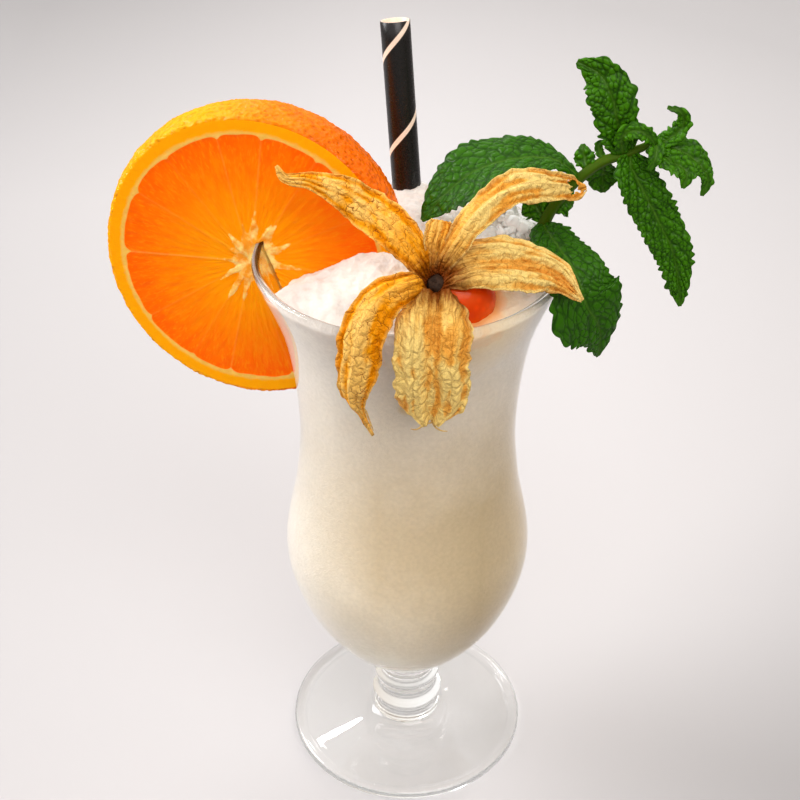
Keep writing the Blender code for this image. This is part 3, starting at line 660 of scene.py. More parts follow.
def fire_polished_glass(settings):
    """Soda-lime glass, blown in a mould and fire-polished: clear and bright, with the softest of waves."""
    material, add, shader, place = start_material("fire_polished_soda_lime_glass")
    waves = add("TexNoise", place, 45.0, 1.0)
    bump = add("Bump", Height=waves, Strength=0.04, Distance=2.0 * MM)
    fill(shader, {
        "Base Color": settings.tint, "Transmission Weight": 1.0, "Roughness": 0.0, "IOR": 1.5,
        "Normal": bump,
    })
    # Lamps shine straight through, as they do through thin clear glass, and so does light trapped in the foot
    path = add("LightPath")
    trapped = add("Math", path.outputs["Ray Depth"], TRAPPED_AFTER, operation="GREATER_THAN")
    straight = add("Math", path.outputs["Is Shadow Ray"], trapped, operation="MAXIMUM")
    clear = add("BsdfTransparent", (0.88, 0.89, 0.89, 1.0))
    mix_shaders(material, add, straight, shader, clear)
    return material


class AddGlass(bpy.types.Operator):
    """Adds the hurricane glass with its foot, stem, bowl and rounded lip"""

    bl_idname = "milkshake.add_glass"
    bl_label = "Add glass"

    def execute(self, context):
        settings = context.scene.milkshake_glass
        wall = settings.wall / MM
        outline = smooth_path(FOOT_OUTLINE, 4) + bowl_outside() + lip(wall) + bowl_inside(wall)
        outline = [(max(radius, 0.0), max(height, LOWEST)) for radius, height in outline]
        shape = turned(outline, GLASS_SIDES)
        add_piece("hurricane_glass", shape, fire_polished_glass(settings), "glass")
        return {"FINISHED"}


# Drink


def growing(start, growth, from_x, x):
    """A value that grows towards the glass wall that the wheel sits on."""
    return start + growth * max(from_x - x, 0.0)


def in_front_of_wheel(x, y):
    """How far a point of the drink's top lies in front of the wheel's nearer face."""
    away = (x - WHEEL_CENTRE[0], y - WHEEL_CENTRE[1])
    return -(away[0] * math.sin(WHEEL_TURN) + away[1] * math.cos(WHEEL_TURN))


def drink_height(x, y):
    """Height of the frozen mound over a point of the glass."""
    height = DRINK_EDGE + DRINK_CROWN * (1.0 - min(math.hypot(x, y) / DRINK_CROWN_RADIUS, 1.0) ** 2)
    for lump_x, lump_y, lump_height, spread in LUMPS:
        height += lump_height * math.exp(-((x - lump_x) ** 2 + (y - lump_y) ** 2) / (2 * spread**2))
    beside_wheel = min(max(1.0 - x / DIP_EDGE, 0.0), 1.0)
    depth, reach = growing(*DIP_DEPTH, x), growing(*DIP_REACH, x)
    return height - depth * beside_wheel * math.exp(-((in_front_of_wheel(x, y) / reach) ** 2))


def frosty_height(x, y, frost):
    """The mound with its frozen grain: soft clods, crusts and fine snow, each from its own layer of noise."""
    clods = roughness_at((x, y, 3.0), CLOD_SIZE) * CLOD_HEIGHT
    heap_x, heap_y, spread = CRUMB_HEAP
    heaped = math.exp(-((x - heap_x) ** 2 + (y - heap_y) ** 2) / spread**2)
    near, next_one = noise.voronoi(Vector((x, y, 5.0)) / CRUST_SIZE)[0][:2]
    clods += heaped * (CRUST_HEIGHT * (1.0 - math.exp(-2.0 * (next_one - near))) - CRUST_SINK)
    grain = roughness_at((x, y, 11.0), GRAIN_SIZE) * frost
    snow = abs(roughness_at((x, y, 40.0), SNOW_SIZE, 2)) * frost * SNOW_SHARE
    return drink_height(x, y) + clods + grain + snow


def frozen_shake(settings):
    """Blended ice and cream, frozen in small grains: matt and white on top, creamier and wetter below, with
    painted light on its left and painted shade on its right.
    """
    material, add, shader, place = start_material("blended_frozen_shake")
    axes = add("SeparateXYZ", place)
    clouds = add("TexNoise", place, 70.0, 4.0, 0.6)
    shifted = add("Math", clouds, 30.0 * MM, axes.outputs["Z"], operation="MULTIPLY_ADD")
    low = add("MapRange", shifted, 66.0 * MM, 106.0 * MM)
    high = add("MapRange", shifted, 178.0 * MM, 192.0 * MM)
    body = add("Mix", low, settings.low_colour, settings.body_colour)
    # Painted shade: the drink turns to the shade colour towards its right, away from the main light, and
    # eases back at its far right edge as a painted rim light.
    right = add("MapRange", axes.outputs["X"], -4.0 * MM, 20.0 * MM)
    rim_light = add("MapRange", axes.outputs["X"], 36.0 * MM, 20.0 * MM)
    painted_right_shade = add("Math", right, rim_light, operation="MULTIPLY")
    shaded = add("Mix", painted_right_shade, body, settings.deep_tone_and_shade_colour)
    # Higher up the drink turns paler: partly its icier top, partly painted light that lifts the shade the
    # orange wheel throws on its upper left.
    rising = add("MapRange", shifted, 120.0 * MM, 172.0 * MM)
    icier_and_lit = add("Mix", rising, shaded, settings.upper_colour)
    speck = add("TexNoise", place, 900.0, 2.0)
    speckled = add("MapRange", speck, 0.3, 0.7, 0.95, 1.03)
    # Painted light: towards its left, where it faces the main light, the drink turns paler and whiter.
    lit = add("MapRange", axes.outputs["X"], -8.0 * MM, -34.0 * MM, 0.0, 0.8)
    bright = add("Mix", lit, icier_and_lit, settings.painted_lit_side_colour)
    # The crown is painted darker towards its left, where the main light falls on it hardest, to offset that
    # light.
    lit_side_dimming = add("MapRange", axes.outputs["X"], -2.0 * MM, -26.0 * MM)
    crown_dimmed_where_lit = add("Mix", lit_side_dimming, settings.crown_colour, linear("C4BAB4"))
    crown = add("Mix", high, bright, crown_dimmed_where_lit)
    grainy = add("Mix", 1.0, crown, speckled, blend_type="MULTIPLY")
    bits = add("TexVoronoi", place, 62.0)
    bit_size = add("MapRange", bits, 0.1, 0.17, 0.55, 0.0)
    rare = add("SeparateColor", bits.outputs["Color"])
    chosen = add("Math", rare, 0.93, operation="GREATER_THAN")
    flecks = add("Math", bit_size, chosen, operation="MULTIPLY")
    colour = add("Mix", flecks, grainy, settings.fleck_colour)
    # Juice of the berry has run into the drink round it
    to_berry = add("VectorMath", place, Vector(BERRY_CENTRE) * MM, operation="DISTANCE")
    bled = add("Math", clouds, 7.0 * MM, to_berry, operation="MULTIPLY_ADD")
    near_berry = add("MapRange", bled, (BERRY_RADIUS + 4.0) * MM, (BERRY_RADIUS + 7.0) * MM, 0.75, 0.0)
    yellowed = add("MapRange", bled, (BERRY_RADIUS + 5.0) * MM, (BERRY_RADIUS + 15.0) * MM, 0.55, 0.0)
    creamy = add("Mix", yellowed, colour, linear("F4D79A"))
    stained = add("Mix", near_berry, creamy, linear("F09A3C"))
    grain = add("TexNoise", place, 1400.0, 3.0, 0.7)
    bump = add("Bump", Height=grain, Strength=0.5, Distance=0.5 * MM)
    wet = add("MapRange", clouds, 0.35, 0.65, 0.42, 0.62)
    fill(shader, {
        "Base Color": stained, "Roughness": wet, "Normal": bump, "Subsurface Weight": 0.4,
        "Subsurface Radius": (1.0, 0.9, 0.8), "Subsurface Scale": 4.0 * MM, "IOR": 1.35,
    })
    return material


def loose_crumbs(settings):
    """Crumbs of frozen foam, dry and white, that throw light back and forth between them."""
    material, add, shader, place = start_material("loose_frozen_foam")
    grain = add("TexNoise", place, 900.0, 3.0, 0.7)
    colour = add("Mix", grain, settings.crumb_colour, linear("F4F1EE"))
    bump = add("Bump", Height=grain, Strength=0.4, Distance=0.4 * MM)
    fill(shader, {"Base Color": colour, "Normal": bump, "Roughness": 0.55, "IOR": 1.31})
    return material


def drink_mesh(frost, wall):
    """The drink: a frosty crown, and sides that reach just into the glass so that no air shows between."""
    inside = bowl_inside(wall - INTO_WALL)[::-1]
    radii, heights = zip(*inside)
    angles = np.linspace(0.0, math.tau, DRINK_SIDES, endpoint=False)
    spokes = [(math.cos(angle), math.sin(angle)) for angle in angles]
    reach = float(np.interp(DRINK_EDGE, heights, radii))
    edges = [drink_height(reach * along_x, reach * along_y) for along_x, along_y in spokes]
    reaches = [float(np.interp(edge, heights, radii)) for edge in edges]
    rows = [[(0.0, 0.0, frosty_height(0.0, 0.0, frost))]]
    for share in np.linspace(0.0, 1.0, CROWN_RINGS)[1:] ** CROWN_CROWDING:
        fade = min((1.0 - share) / EDGE_FADE, 1.0)
        rows.append([])
        for (along_x, along_y), edge, reach in zip(spokes, edges, reaches):
            x, y = reach * share * along_x, reach * share * along_y
            level = frosty_height(x, y, frost)
            rows[-1].append((x, y, edge + (level - edge) * fade if fade < 1.0 else level))
    for share in np.linspace(0.0, 1.0, SIDE_RINGS)[1:-1]:
        rows.append([])
        for (along_x, along_y), edge in zip(spokes, edges):
            height = edge + (FLOOR + ABOVE_FLOOR - edge) * share
            radius = float(np.interp(height, heights, radii))
            rows[-1].append((radius * along_x, radius * along_y, height))
    rows.append([(0.0, 0.0, FLOOR - INTO_WALL)])
    return skin(rows)


def crumb_mesh():
    """Loose frozen crumbs, heaped where the drink is stiffest."""
    heap_x, heap_y, spread = CRUMB_HEAP
    crumbs = []
    for number in range(CRUMBS):
        turn = number * GOLDEN_TURN
        reach = spread * math.sqrt((number + 0.5) / CRUMBS) * HEAP_LENGTH
        x, y = heap_x + reach * math.cos(turn), heap_y + HEAP_DEPTH * reach * math.sin(turn)
        if math.hypot(x, y) > CRUMBS_WITHIN:
            continue
        size = SMALLEST_CRUMB + CRUMB_GROWTH * noise.cell(Vector((number * 3.7, 1.0, 2.0))) ** 2
        ball = bmesh.new()
        bmesh.ops.create_icosphere(ball, subdivisions=3, radius=size)
        points = []
        for vert in ball.verts:
            spot = vert.co + Vector((x, y, number * 5.0))
            push = 1.0 + CRUMB_LUMPS * roughness_at(spot, CRUMB_LUMP_SIZE)
            height = drink_height(x, y) + CRUMB_LIFT * size + vert.co.z * push * CRUMB_HEIGHT
            points.append((x + vert.co.x * push, y + vert.co.y * push, height))
        crumbs.append((points, [tuple(vert.index for vert in face.verts) for face in ball.faces]))
        ball.free()
    return joined(crumbs)


class AddDrink(bpy.types.Operator):
    """Adds the frozen drink and its loose frozen crumbs"""

    bl_idname = "milkshake.add_drink"
    bl_label = "Add drink"

    def execute(self, context):
        settings = context.scene.milkshake_drink
        drink = drink_mesh(settings.frost / MM, context.scene.milkshake_glass.wall / MM)
        add_piece("frozen_drink", drink, frozen_shake(settings), "milkshake")
        add_piece("frozen_crumbs", crumb_mesh(), loose_crumbs(settings), "milkshake")
        return {"FINISHED"}


# Orange


def wheel_matrix():
    """Places the wheel: its own Z runs from the face that the viewer sees to the one behind."""
    upright = Matrix.Rotation(math.radians(-90.0) - WHEEL_LEAN, 4, "X")
    turn = Matrix.Rotation(-WHEEL_TURN, 4, "Z")
    return Matrix.Translation(Vector(WHEEL_CENTRE) * MM) @ turn @ upright


def from_membrane(angle):
    """The angle to the nearest membrane between two segments, and how clearly that one shows."""
    return min((abs((angle - math.radians(membrane) + math.pi) % math.tau - math.pi), strength)
               for membrane, strength in MEMBRANES)


def flesh_edge(angle, face):
    """Radius of the flesh, which is notched where a membrane meets the peel."""
    off, strength = from_membrane(angle)
    notch = (0.25 + 0.75 * strength) * math.exp(-abs(off * FLESH_RADIUS / NOTCH_WIDTH) ** 1.3)
    wander = roughness_at((math.cos(angle) * 9.0, math.sin(angle) * 9.0, 20.0 * face), 2.0)
    return FLESH_RADIUS - NOTCH_DEPTH * notch + 0.45 * wander


def core_edge(angle, face):
    """Radius of the pithy core, which runs out into the membranes."""
    off, _ = from_membrane(angle)
    arm = math.exp(-((off * 9.0) ** 2))
    wander = roughness_at((math.cos(angle) * 9.0, math.sin(angle) * 9.0, 50.0 + 20.0 * face), 3.0)
    return CORE_RADIUS + CORE_ARM * arm * (1.0 + 0.9 * wander) + 1.6 * wander


def wheel_sections():
    """(radius, depth, face) from the middle of the near cut face, round the rim, to the far one's middle."""
    front, middle, back = WHEEL_RADII
    radii = [*np.linspace(0.0, RING_FROM, 44)[:-1], *np.linspace(RING_FROM, front - FACE_INSET, 22)]
    cut = [(radius, 0.0, NEAR_FACE) for radius in radii]
    rim_path = smooth_path((
        (front - BEVEL, 0.12), (front, FACE_INSET), (middle - 0.1, WHEEL_THICKNESS * 0.3),
        (middle, WHEEL_THICKNESS * 0.55), (back + 0.9, WHEEL_THICKNESS * 0.85),
        (back, WHEEL_THICKNESS - FACE_INSET), (back - BEVEL, WHEEL_THICKNESS - 0.12),
    ), 8)
    rim = [(radius, depth, PEEL) for radius, depth in rim_path]
    radii = [*np.linspace(back - FACE_INSET, 30.0, 14), *np.linspace(30.0, 0.0, 26)[1:]]
    return cut + rim + [(radius, WHEEL_THICKNESS, FAR_FACE) for radius in radii]


def wheel_mesh():
    """The wheel's shape and fields: how far each point is inside the flesh, the core and a membrane."""
    rows = []
    fields = {"in_flesh": [], "in_core": [], "off_membrane": [], "membrane": []}
    angles = np.linspace(0.0, math.tau, WHEEL_SIDES, endpoint=False)
    sheets = (NEAR_FACE, PEEL, FAR_FACE)
    edges = {face: [(flesh_edge(angle, face), core_edge(angle, face)) for angle in angles] for face in sheets}
    off, strengths = zip(*(from_membrane(angle) for angle in angles))
    for radius, depth, face in wheel_sections():
        rows.append([])
        for side, angle in enumerate(angles[:1] if radius < ON_AXIS else angles):
            flesh, core = edges[face][side]
            x, y = radius * math.cos(angle), radius * math.sin(angle)
            on_peel = face == PEEL
            out = -1.0 if face == NEAR_FACE else 1.0
            rise = 0.0 if on_peel else wheel_rise(x, y, radius, angle, face, flesh, core, off[side])
            bulge = 1.0 + peel_rise(x, y, depth) / radius if on_peel else 1.0
            rows[-1].append((x * bulge, y * bulge, depth + out * rise))
            fields["in_flesh"].append(OUTSIDE_FLESH if on_peel else flesh - radius)
            fields["in_core"].append(core - math.hypot(x - CORE_CENTRE[0], y - CORE_CENTRE[1]))
            fields["off_membrane"].append(radius * math.sin(min(off[side], 1.2)))
            fields["membrane"].append(strengths[side])
    return skin(rows), fields


def peel_rise(x, y, depth):
    """Relief of the peel: soft swells, and a pimple round each oil gland."""
    spot = Vector((x, y, depth))
    to_gland, to_next = noise.voronoi(spot / GLAND_SIZE)[0][:2]
    swell, pore = roughness_at(spot, 5.0), roughness_at(spot, 1.0)
    return SWELL_RELIEF * swell + PIMPLE_RELIEF * min(to_next - to_gland, 0.5) + PORE_RELIEF * pore


def wheel_rise(x, y, radius, angle, face, flesh, core, off):
    """How far a point of a cut face stands out of the flat cut."""
    spot = Vector((math.cos(angle) * 17.0, math.sin(angle) * 17.0, radius * 0.2 + 9.0 * face))
    sacs = noise.fractal(spot, 0.8, 2.0, 3)
    ridge = MEMBRANE_RELIEF * math.exp(-((radius * off / MEMBRANE_HALF) ** 2))
    from_core = math.hypot(x - CORE_CENTRE[0], y - CORE_CENTRE[1])
    inside_flesh = min(max((flesh - radius) / FLESH_FADE, 0.0), 1.0)
    inside_core = min(max((core - from_core) / CORE_FADE, 0.0), 1.0)
    spot = Vector((x, y, 8.0 * face)) / WRINKLE_SIZE
    wrinkles = noise.ridged_multi_fractal(spot, 1.0, 2.1, 3, 1.0, 2.0) - 1.0
    rise = inside_flesh * (1.0 - inside_core) * (SAC_RELIEF * sacs + ridge - SAC_RELIEF)
    rise += inside_core * (WRINKLE_RELIEF * wrinkles + 0.1)
    if radius > flesh:
        rise += 0.08 * roughness_at((x, y, 30.0), 1.4)
    return rise


def waxy_peel(settings):
    """An orange's skin, waxed and full of oil glands: pimpled, shiny, and a deeper orange towards one side.
    """
    material, add, shader, place = start_material("waxed_orange_peel")
    axes = add("SeparateXYZ", place)
    patches = add("TexNoise", place, 90.0, 3.0)
    # The skin turns from its lighter colour to a deeper orange towards the wheel's right.
    side = add("Math", patches, 24.0 * MM, axes.outputs["X"], operation="MULTIPLY_ADD")
    ripe = add("MapRange", side, -8.0 * MM, 36.0 * MM, interpolation_type="SMOOTHSTEP")
    tinted = add("Mix", ripe, settings.skin_colour, settings.deep_skin_colour)
    # Oil glands lie about 1.4 mm apart, each a small dimple in a bumpy skin
    glands = add("TexVoronoi", place, 700.0, feature="SMOOTH_F1")
    dark = add("MapRange", glands, 0.05, 0.5, 0.72, 1.06)
    spotted = add("Mix", 0.8, tinted, dark, blend_type="MULTIPLY")
    folds = add("TexNoise", place, 420.0, 2.0, 0.6)
    relief = add("Math", folds, 1.4, glands, operation="MULTIPLY_ADD")
    bump = add("Bump", Height=relief, Strength=0.9, Distance=0.9 * MM)
    fill(shader, {
        "Base Color": spotted, "Normal": bump, "Coat Normal": bump, "Roughness": 0.32,
        "Subsurface Weight": 0.15, "Subsurface Radius": (1.0, 0.45, 0.1), "Subsurface Scale": 1.5 * MM,
        "Coat Weight": 0.5, "Coat Roughness": 0.12, "Specular IOR Level": 0.0, "IOR": 1.45,
    })
    return material


def cut_flesh(settings):
    """An orange cut with a knife: wet juice sacs, thin membranes, a pithy core and the white of the peel."""
    material, add, shader, place = start_material("knife_cut_orange_flesh")
    flat = add("VectorMath", place, (1.0, 1.0, 0.0), operation="MULTIPLY")
    spoke = add("VectorMath", flat, operation="NORMALIZE")
    reach = add("VectorMath", flat, operation="LENGTH")
    along = add("CombineXYZ", 0.0, 0.0, reach)
    in_flesh, in_core = fields_of(add, "in_flesh", "in_core")
    off_membrane, membrane = fields_of(add, "off_membrane", "membrane")
    # Juice sacs are about 1.5 mm wide and run inwards: thin round the wheel and long towards its middle
    round_wheel = add("VectorMath", spoke, 15.0, operation="SCALE")
    lengthwise = add("VectorMath", along, 170.0, operation="SCALE")
    sac_place = add("VectorMath", round_wheel, lengthwise, operation="ADD")
    sacs = add("TexNoise", sac_place, 1.0, 4.0, 0.62)
    fine = add("TexNoise", sac_place, 3.1, 3.0, 0.6)
    blots = add("TexNoise", place, 160.0, 3.0)
    outwards = add("MapRange", in_flesh, 26.0, 0.5)
    ripeness = add("Math", sacs, 0.8, outwards, operation="MULTIPLY_ADD")
    blotchy = add("Math", blots, 0.5, ripeness, operation="MULTIPLY_ADD")
    ripe = add("MapRange", blotchy, 0.7, 1.65)
    flesh = add("Mix", ripe, settings.flesh_colour, settings.rim_flesh_colour)
    light = add("MapRange", fine, 0.5, 0.75, 0.0, 0.45)
    streaked = add("Mix", light, flesh, linear("FFA51E"))
    thin = add("MapRange", off_membrane, 0.1, 0.42, 0.15, 0.0)
    shown = add("Math", thin, membrane, operation="MULTIPLY")
    walled = add("Mix", shown, streaked, settings.pith_colour)
    tears = add("TexNoise", place, 260.0, 3.0, 0.6)
    core = add("Math", tears, 7.5, in_core, operation="MULTIPLY_ADD")
    core_mask = add("MapRange", core, 3.2, 4.2)
    shade = add("MapRange", tears, 0.42, 0.62)
    pith = add("Mix", shade, linear("F7A030"), settings.pith_colour)
    cored = add("Mix", core_mask, walled, pith)
    # The peel's own layers: mottled white, then the yellow skin
    mottle = add("TexNoise", place, 480.0, 3.0, 0.6)
    white = add("Mix", mottle, linear("E2A538"), settings.albedo_colour)
    skin_edge = add("Math", mottle, 1.6 * MM, reach, operation="MULTIPLY_ADD")
    skin_mask = add("MapRange", skin_edge, (SKIN_FROM - 0.3) * MM, (SKIN_FROM + 0.5) * MM)
    peel = add("Mix", skin_mask, white, settings.skin_colour)
    flesh_mask = add("MapRange", in_flesh, -0.12, 0.2)
    colour = add("Mix", flesh_mask, peel, cored)
    relief = add("Math", fine, 0.5, sacs, operation="MULTIPLY_ADD")
    bump = add("Bump", Height=relief, Strength=0.4, Distance=0.5 * MM)
    wet = add("MapRange", flesh_mask, 0.0, 1.0, 0.5, 0.22)
    fill(shader, {
        "Base Color": colour, "Roughness": wet, "Normal": bump, "Subsurface Weight": 0.3,
        "Subsurface Radius": (1.0, 0.35, 0.05), "Subsurface Scale": 2.0 * MM, "Specular IOR Level": 0.2,
        "IOR": 1.36,
    })
    return material


def slit_shape(wall):
    """The stretch of glass wall that the wheel sits on, with a little room all round it."""
    outer = [point for point in bowl_offset(-SLIT_ROOM) if point[1] > SLIT_BOTTOM]
    inner = [point for point in bowl_offset(wall + SLIT_ROOM) if point[1] > SLIT_BOTTOM]
    top = [point + np.array((0.0, wall / 2 + SLIT_ROOM)) for point in (outer[-1], inner[-1])]
    loop = [*outer, *top, *inner[::-1]]
    sides = round((SLIT_TO - SLIT_FROM) / math.tau * GLASS_SIDES)
    angles = [SLIT_FROM + (SLIT_TO - SLIT_FROM) * step / sides for step in range(sides + 1)]
    rows = [[(radius * math.cos(a), radius * math.sin(a), height) for radius, height in loop] for a in angles]
    return skin(rows, capped=True)


def cut_slit(wheel, wall):
    """Takes the slit out of the wheel, so that the rim of the glass fits into it."""
    cutter = new_object("slit_cutter", *slit_shape(wall))
    cut = wheel.modifiers.new("slit", "BOOLEAN")
    cut.operation = "DIFFERENCE"
    cut.solver = "MANIFOLD"
    cut.object = cutter
    with bpy.context.temp_override(object=wheel, active_object=wheel, selected_objects=[wheel]):
        bpy.ops.object.modifier_apply(modifier=cut.name)
    mesh = cutter.data
    bpy.data.objects.remove(cutter)
    bpy.data.meshes.remove(mesh)


class AddOrange(bpy.types.Operator):
    """Adds the orange wheel with its cut faces, peel and slit"""

    bl_idname = "milkshake.add_orange"
    bl_label = "Add orange wheel"

    def execute(self, context):
        settings = context.scene.milkshake_orange
        shape, fields = wheel_mesh()
        wheel = add_piece("orange_wheel", shape, cut_flesh(settings), "orange_slice", fields,
                          wheel_matrix())
        wheel.data.materials.append(waxy_peel(settings))
        rim = [index for index, section in enumerate(wheel_sections()) if section[2] == PEEL]
        first_rim_face = (rim[0] - 1) * WHEEL_SIDES
        last_rim_face = (rim[-1] + 1) * WHEEL_SIDES
        for polygon in wheel.data.polygons:
            if first_rim_face <= polygon.index < last_rim_face:
                polygon.material_index = 1
        cut_slit(wheel, context.scene.milkshake_glass.wall / MM)
        return {"FINISHED"}


# Straw


def printed_paper(settings, length):
    """Paper wound into a tube and printed black, with one thin stripe left in its own cream."""
    material, add, shader, place = start_material("wound_printed_paper")
    axes = add("SeparateXYZ", place)
    turn = add("Math", axes.outputs["Y"], axes.outputs["X"], operation="ARCTAN2")
    turns = add("Math", turn, -1.0 / math.tau, TURNS_AHEAD, operation="MULTIPLY_ADD")
    start = (STRIPE_BELOW_TOP - length) / STRIPE_PITCH - 0.5
    lifted = add("Math", axes.outputs["Z"], 1.0 / (STRIPE_PITCH * MM), turns, operation="MULTIPLY_ADD")
    phase = add("Math", lifted, start, operation="ADD")
    place_in_turn = add("Math", phase, operation="FRACT")
    off_middle = add("Math", place_in_turn, 0.5, operation="SUBTRACT")
    off_stripe = add("Math", off_middle, operation="ABSOLUTE")
    half = settings.stripe_width / MM / STRIPE_PITCH / 2
    stripe = add("MapRange", off_stripe, half * 1.15, half * 0.85)
    flat = add("VectorMath", place, (1.0, 1.0, 0.0), operation="MULTIPLY")
    reach = add("VectorMath", flat, operation="LENGTH")
    inner = add("MapRange", reach, (STRAW_RADIUS - STRAW_EDGE) * MM, (STRAW_RADIUS - 1.5 * STRAW_EDGE) * MM)
    cream = add("Math", stripe, inner, operation="MAXIMUM")
    fibres = add("TexNoise", place, 1500.0, 3.0, 0.7)
    black = add("Mix", fibres, settings.paper_colour, linear("231F1D"))
    colour = add("Mix", cream, black, settings.stripe_colour)
    # The strip's own edge shows as a fine step once in each turn
    seam = add("Math", off_middle, SEAM_AT, operation="SUBTRACT")
    seam_step = add("MapRange", seam, -SEAM_HALF, SEAM_HALF)
    relief = add("Math", fibres, 0.5, seam_step, operation="MULTIPLY_ADD")
    bump = add("Bump", Height=relief, Strength=0.25, Distance=0.15 * MM)
    rough = add("MapRange", fibres, 0.0, 1.0, 0.22, 0.34)
    fill(shader, {"Specular IOR Level": 0.6, "Base Color": colour, "Roughness": rough, "Normal": bump})
    return material


class AddStraw(bpy.types.Operator):
    """Adds the paper straw"""

    bl_idname = "milkshake.add_straw"
    bl_label = "Add straw"

    def execute(self, context):
        bottom, top = Vector(STRAW_BOTTOM), Vector(STRAW_TOP)
        length = (top - bottom).length
        along = (top - bottom).normalized()
        lean = Matrix((*square_to(along), along)).transposed().to_4x4()
        outer, inner = STRAW_RADIUS, STRAW_RADIUS - STRAW_PAPER
        heights = np.linspace(0.0, length - STRAW_EDGE, STRAW_RINGS)
        outline = [(outer, height) for height in heights]
        outline += [(outer - STRAW_EDGE, length), (inner + STRAW_EDGE, length)]
        outline += [(inner, height) for height in heights[::-1]]
        points, faces = turned(outline, STRAW_SIDES)
        last_row = range(len(points) - STRAW_SIDES, len(points))
        faces += strip_faces(last_row, range(STRAW_SIDES), True)
        paper = printed_paper(context.scene.milkshake_straw, length)
        add_piece("paper_straw", (points, faces), paper, "straw",
                  place=Matrix.Translation(bottom * MM) @ lean)
        return {"FINISHED"}


# Berry and husk


def dry_husk(settings):
    """A cape gooseberry's husk, dried to paper: brown veins in a thin amber skin that lets light through."""
    material, add, shader, place = start_material("dried_veined_husk")
    across, out, rib = fields_of(add, "across", "from_scar", "off_rib")
    edge, ridge, dried = fields_of(add, "off_edge", "ridge", "dried")
    sheet = add("CombineXYZ", across, out)
    wander = add("TexNoise", sheet, 0.5, 3.0)
    bent = add("VectorMath", wander.outputs["Color"], (2.6, 2.6, 0.0), sheet, operation="MULTIPLY_ADD")
    long_cells = add("VectorMath", bent, (1.0, 0.66, 0.0), operation="MULTIPLY")
    # The net's meshes are about 1.7 mm wide and 2.5 mm long, with a finer net of 0.8 mm inside them
    net = add("TexVoronoi", long_cells, 0.6, feature="DISTANCE_TO_EDGE", voronoi_dimensions="2D")
    fine_net = add("TexVoronoi", bent, 1.2, feature="DISTANCE_TO_EDGE", voronoi_dimensions="2D")
    thinning = add("TexNoise", sheet, 0.28, 1.0)
    strength = add("MapRange", thinning, 0.35, 0.62, 0.15, 0.65)
    vein_line = add("MapRange", net, 0.055, 0.014)
    by_age = add("MapRange", dried, 0.0, 1.0, 1.8, 0.55)
    bold = add("Math", strength, by_age, operation="MULTIPLY")
    veins = add("Math", vein_line, bold, operation="MULTIPLY", use_clamp=True)
    fine_veins = add("MapRange", fine_net, 0.07, 0.02, 0.0, 0.26)
    ribs = add("MapRange", rib, 0.24, 0.06, 0.0, 0.3)
    both = add("Math", veins, fine_veins, operation="MAXIMUM")
    net_lines = add("Math", both, ribs, operation="MAXIMUM")
    # Long fibres run out from the scar and are darkest next to it
    fibre_place = add("VectorMath", sheet, (2.2, 0.13, 0.0), operation="MULTIPLY")
    fibres = add("TexNoise", fibre_place, 1.0, 2.0)
    dark_fibres = add("MapRange", fibres, 0.5, 0.62)
    near_scar = add("MapRange", out, 17.0, 4.0, 0.12, 0.75)
    fibre_lines = add("Math", dark_fibres, near_scar, operation="MULTIPLY")
    lines = add("Math", net_lines, fibre_lines, operation="MAXIMUM")
    # Painted highlights: the paper is painted paler on its ridges and along its edges.
    # It is also palest far from the scar.
    patches = add("TexNoise", place, 240.0, 4.0, 0.65)
    high = add("Math", patches, 0.9, ridge, operation="MULTIPLY_ADD")
    pale = add("MapRange", high, 0.68, 1.2)
    old = add("MapRange", out, 8.0, 26.0, 0.15, 1.0)
    ridge_highlight_and_age = add("Math", pale, old, operation="MULTIPLY")
    edge_highlight = add("MapRange", edge, 0.9, 0.15, 0.0, 0.8)
    local = add("Math", ridge_highlight_and_age, edge_highlight, operation="MAXIMUM")
    # Each lobe's dried share makes it paler: partly its own drier paper, partly painted light on the lobes
    # that face away from the main light.
    by_lobe = add("MapRange", dried, 0.0, 1.0, 0.35, 1.15)
    scaled = add("Math", local, by_lobe, operation="MULTIPLY")
    base = add("MapRange", dried, 0.35, 0.95, 0.0, 0.6)
    paleness = add("Math", scaled, base, operation="ADD", use_clamp=True)
    paper = add("Mix", paleness, settings.paper_colour, settings.pale_colour)
    # Painted shade down in the pleats
    pleat_shade = add("MapRange", ridge, 0.42, 0.02, 0.0, 0.45)
    golden = add("Mix", pleat_shade, paper, settings.pleat_shade_colour)
    # The paper's own brown darkens it next to the scar
    near = add("Math", patches, 7.0, out, operation="MULTIPLY_ADD")
    scar = add("MapRange", near, 15.0, 3.5, interpolation_type="SMOOTHSTEP")
    aged = add("Mix", scar, golden, settings.deep_tone_and_shade_colour)
    colour = add("Mix", lines, aged, settings.vein_colour)
    pucker = add("MapRange", net, 0.0, 0.35, interpolation_type="SMOOTHSTEP")
    fine_pucker = add("Math", fine_net, 0.5, pucker, operation="MULTIPLY_ADD")
    bump = add("Bump", Height=fine_pucker, Strength=0.8, Distance=0.5 * MM)
    fill(shader, {
        "Base Color": colour, "Normal": bump, "Roughness": 0.5, "Specular IOR Level": 0.2, "IOR": 1.45,
    })
    through = add("BsdfTranslucent", colour, bump)
    mix_shaders(material, add, HUSK_THROUGH, shader, through)
    return material


def husk_ring(angle):
    """A point on the edge of the scar."""
    right, up = square_to(Vector(HUSK_FACING).normalized())
    turn = math.radians(angle)
    return Vector(HUSK_CENTRE) + (right * math.cos(turn) + up * math.sin(turn)) * HUSK_SCAR_RADIUS


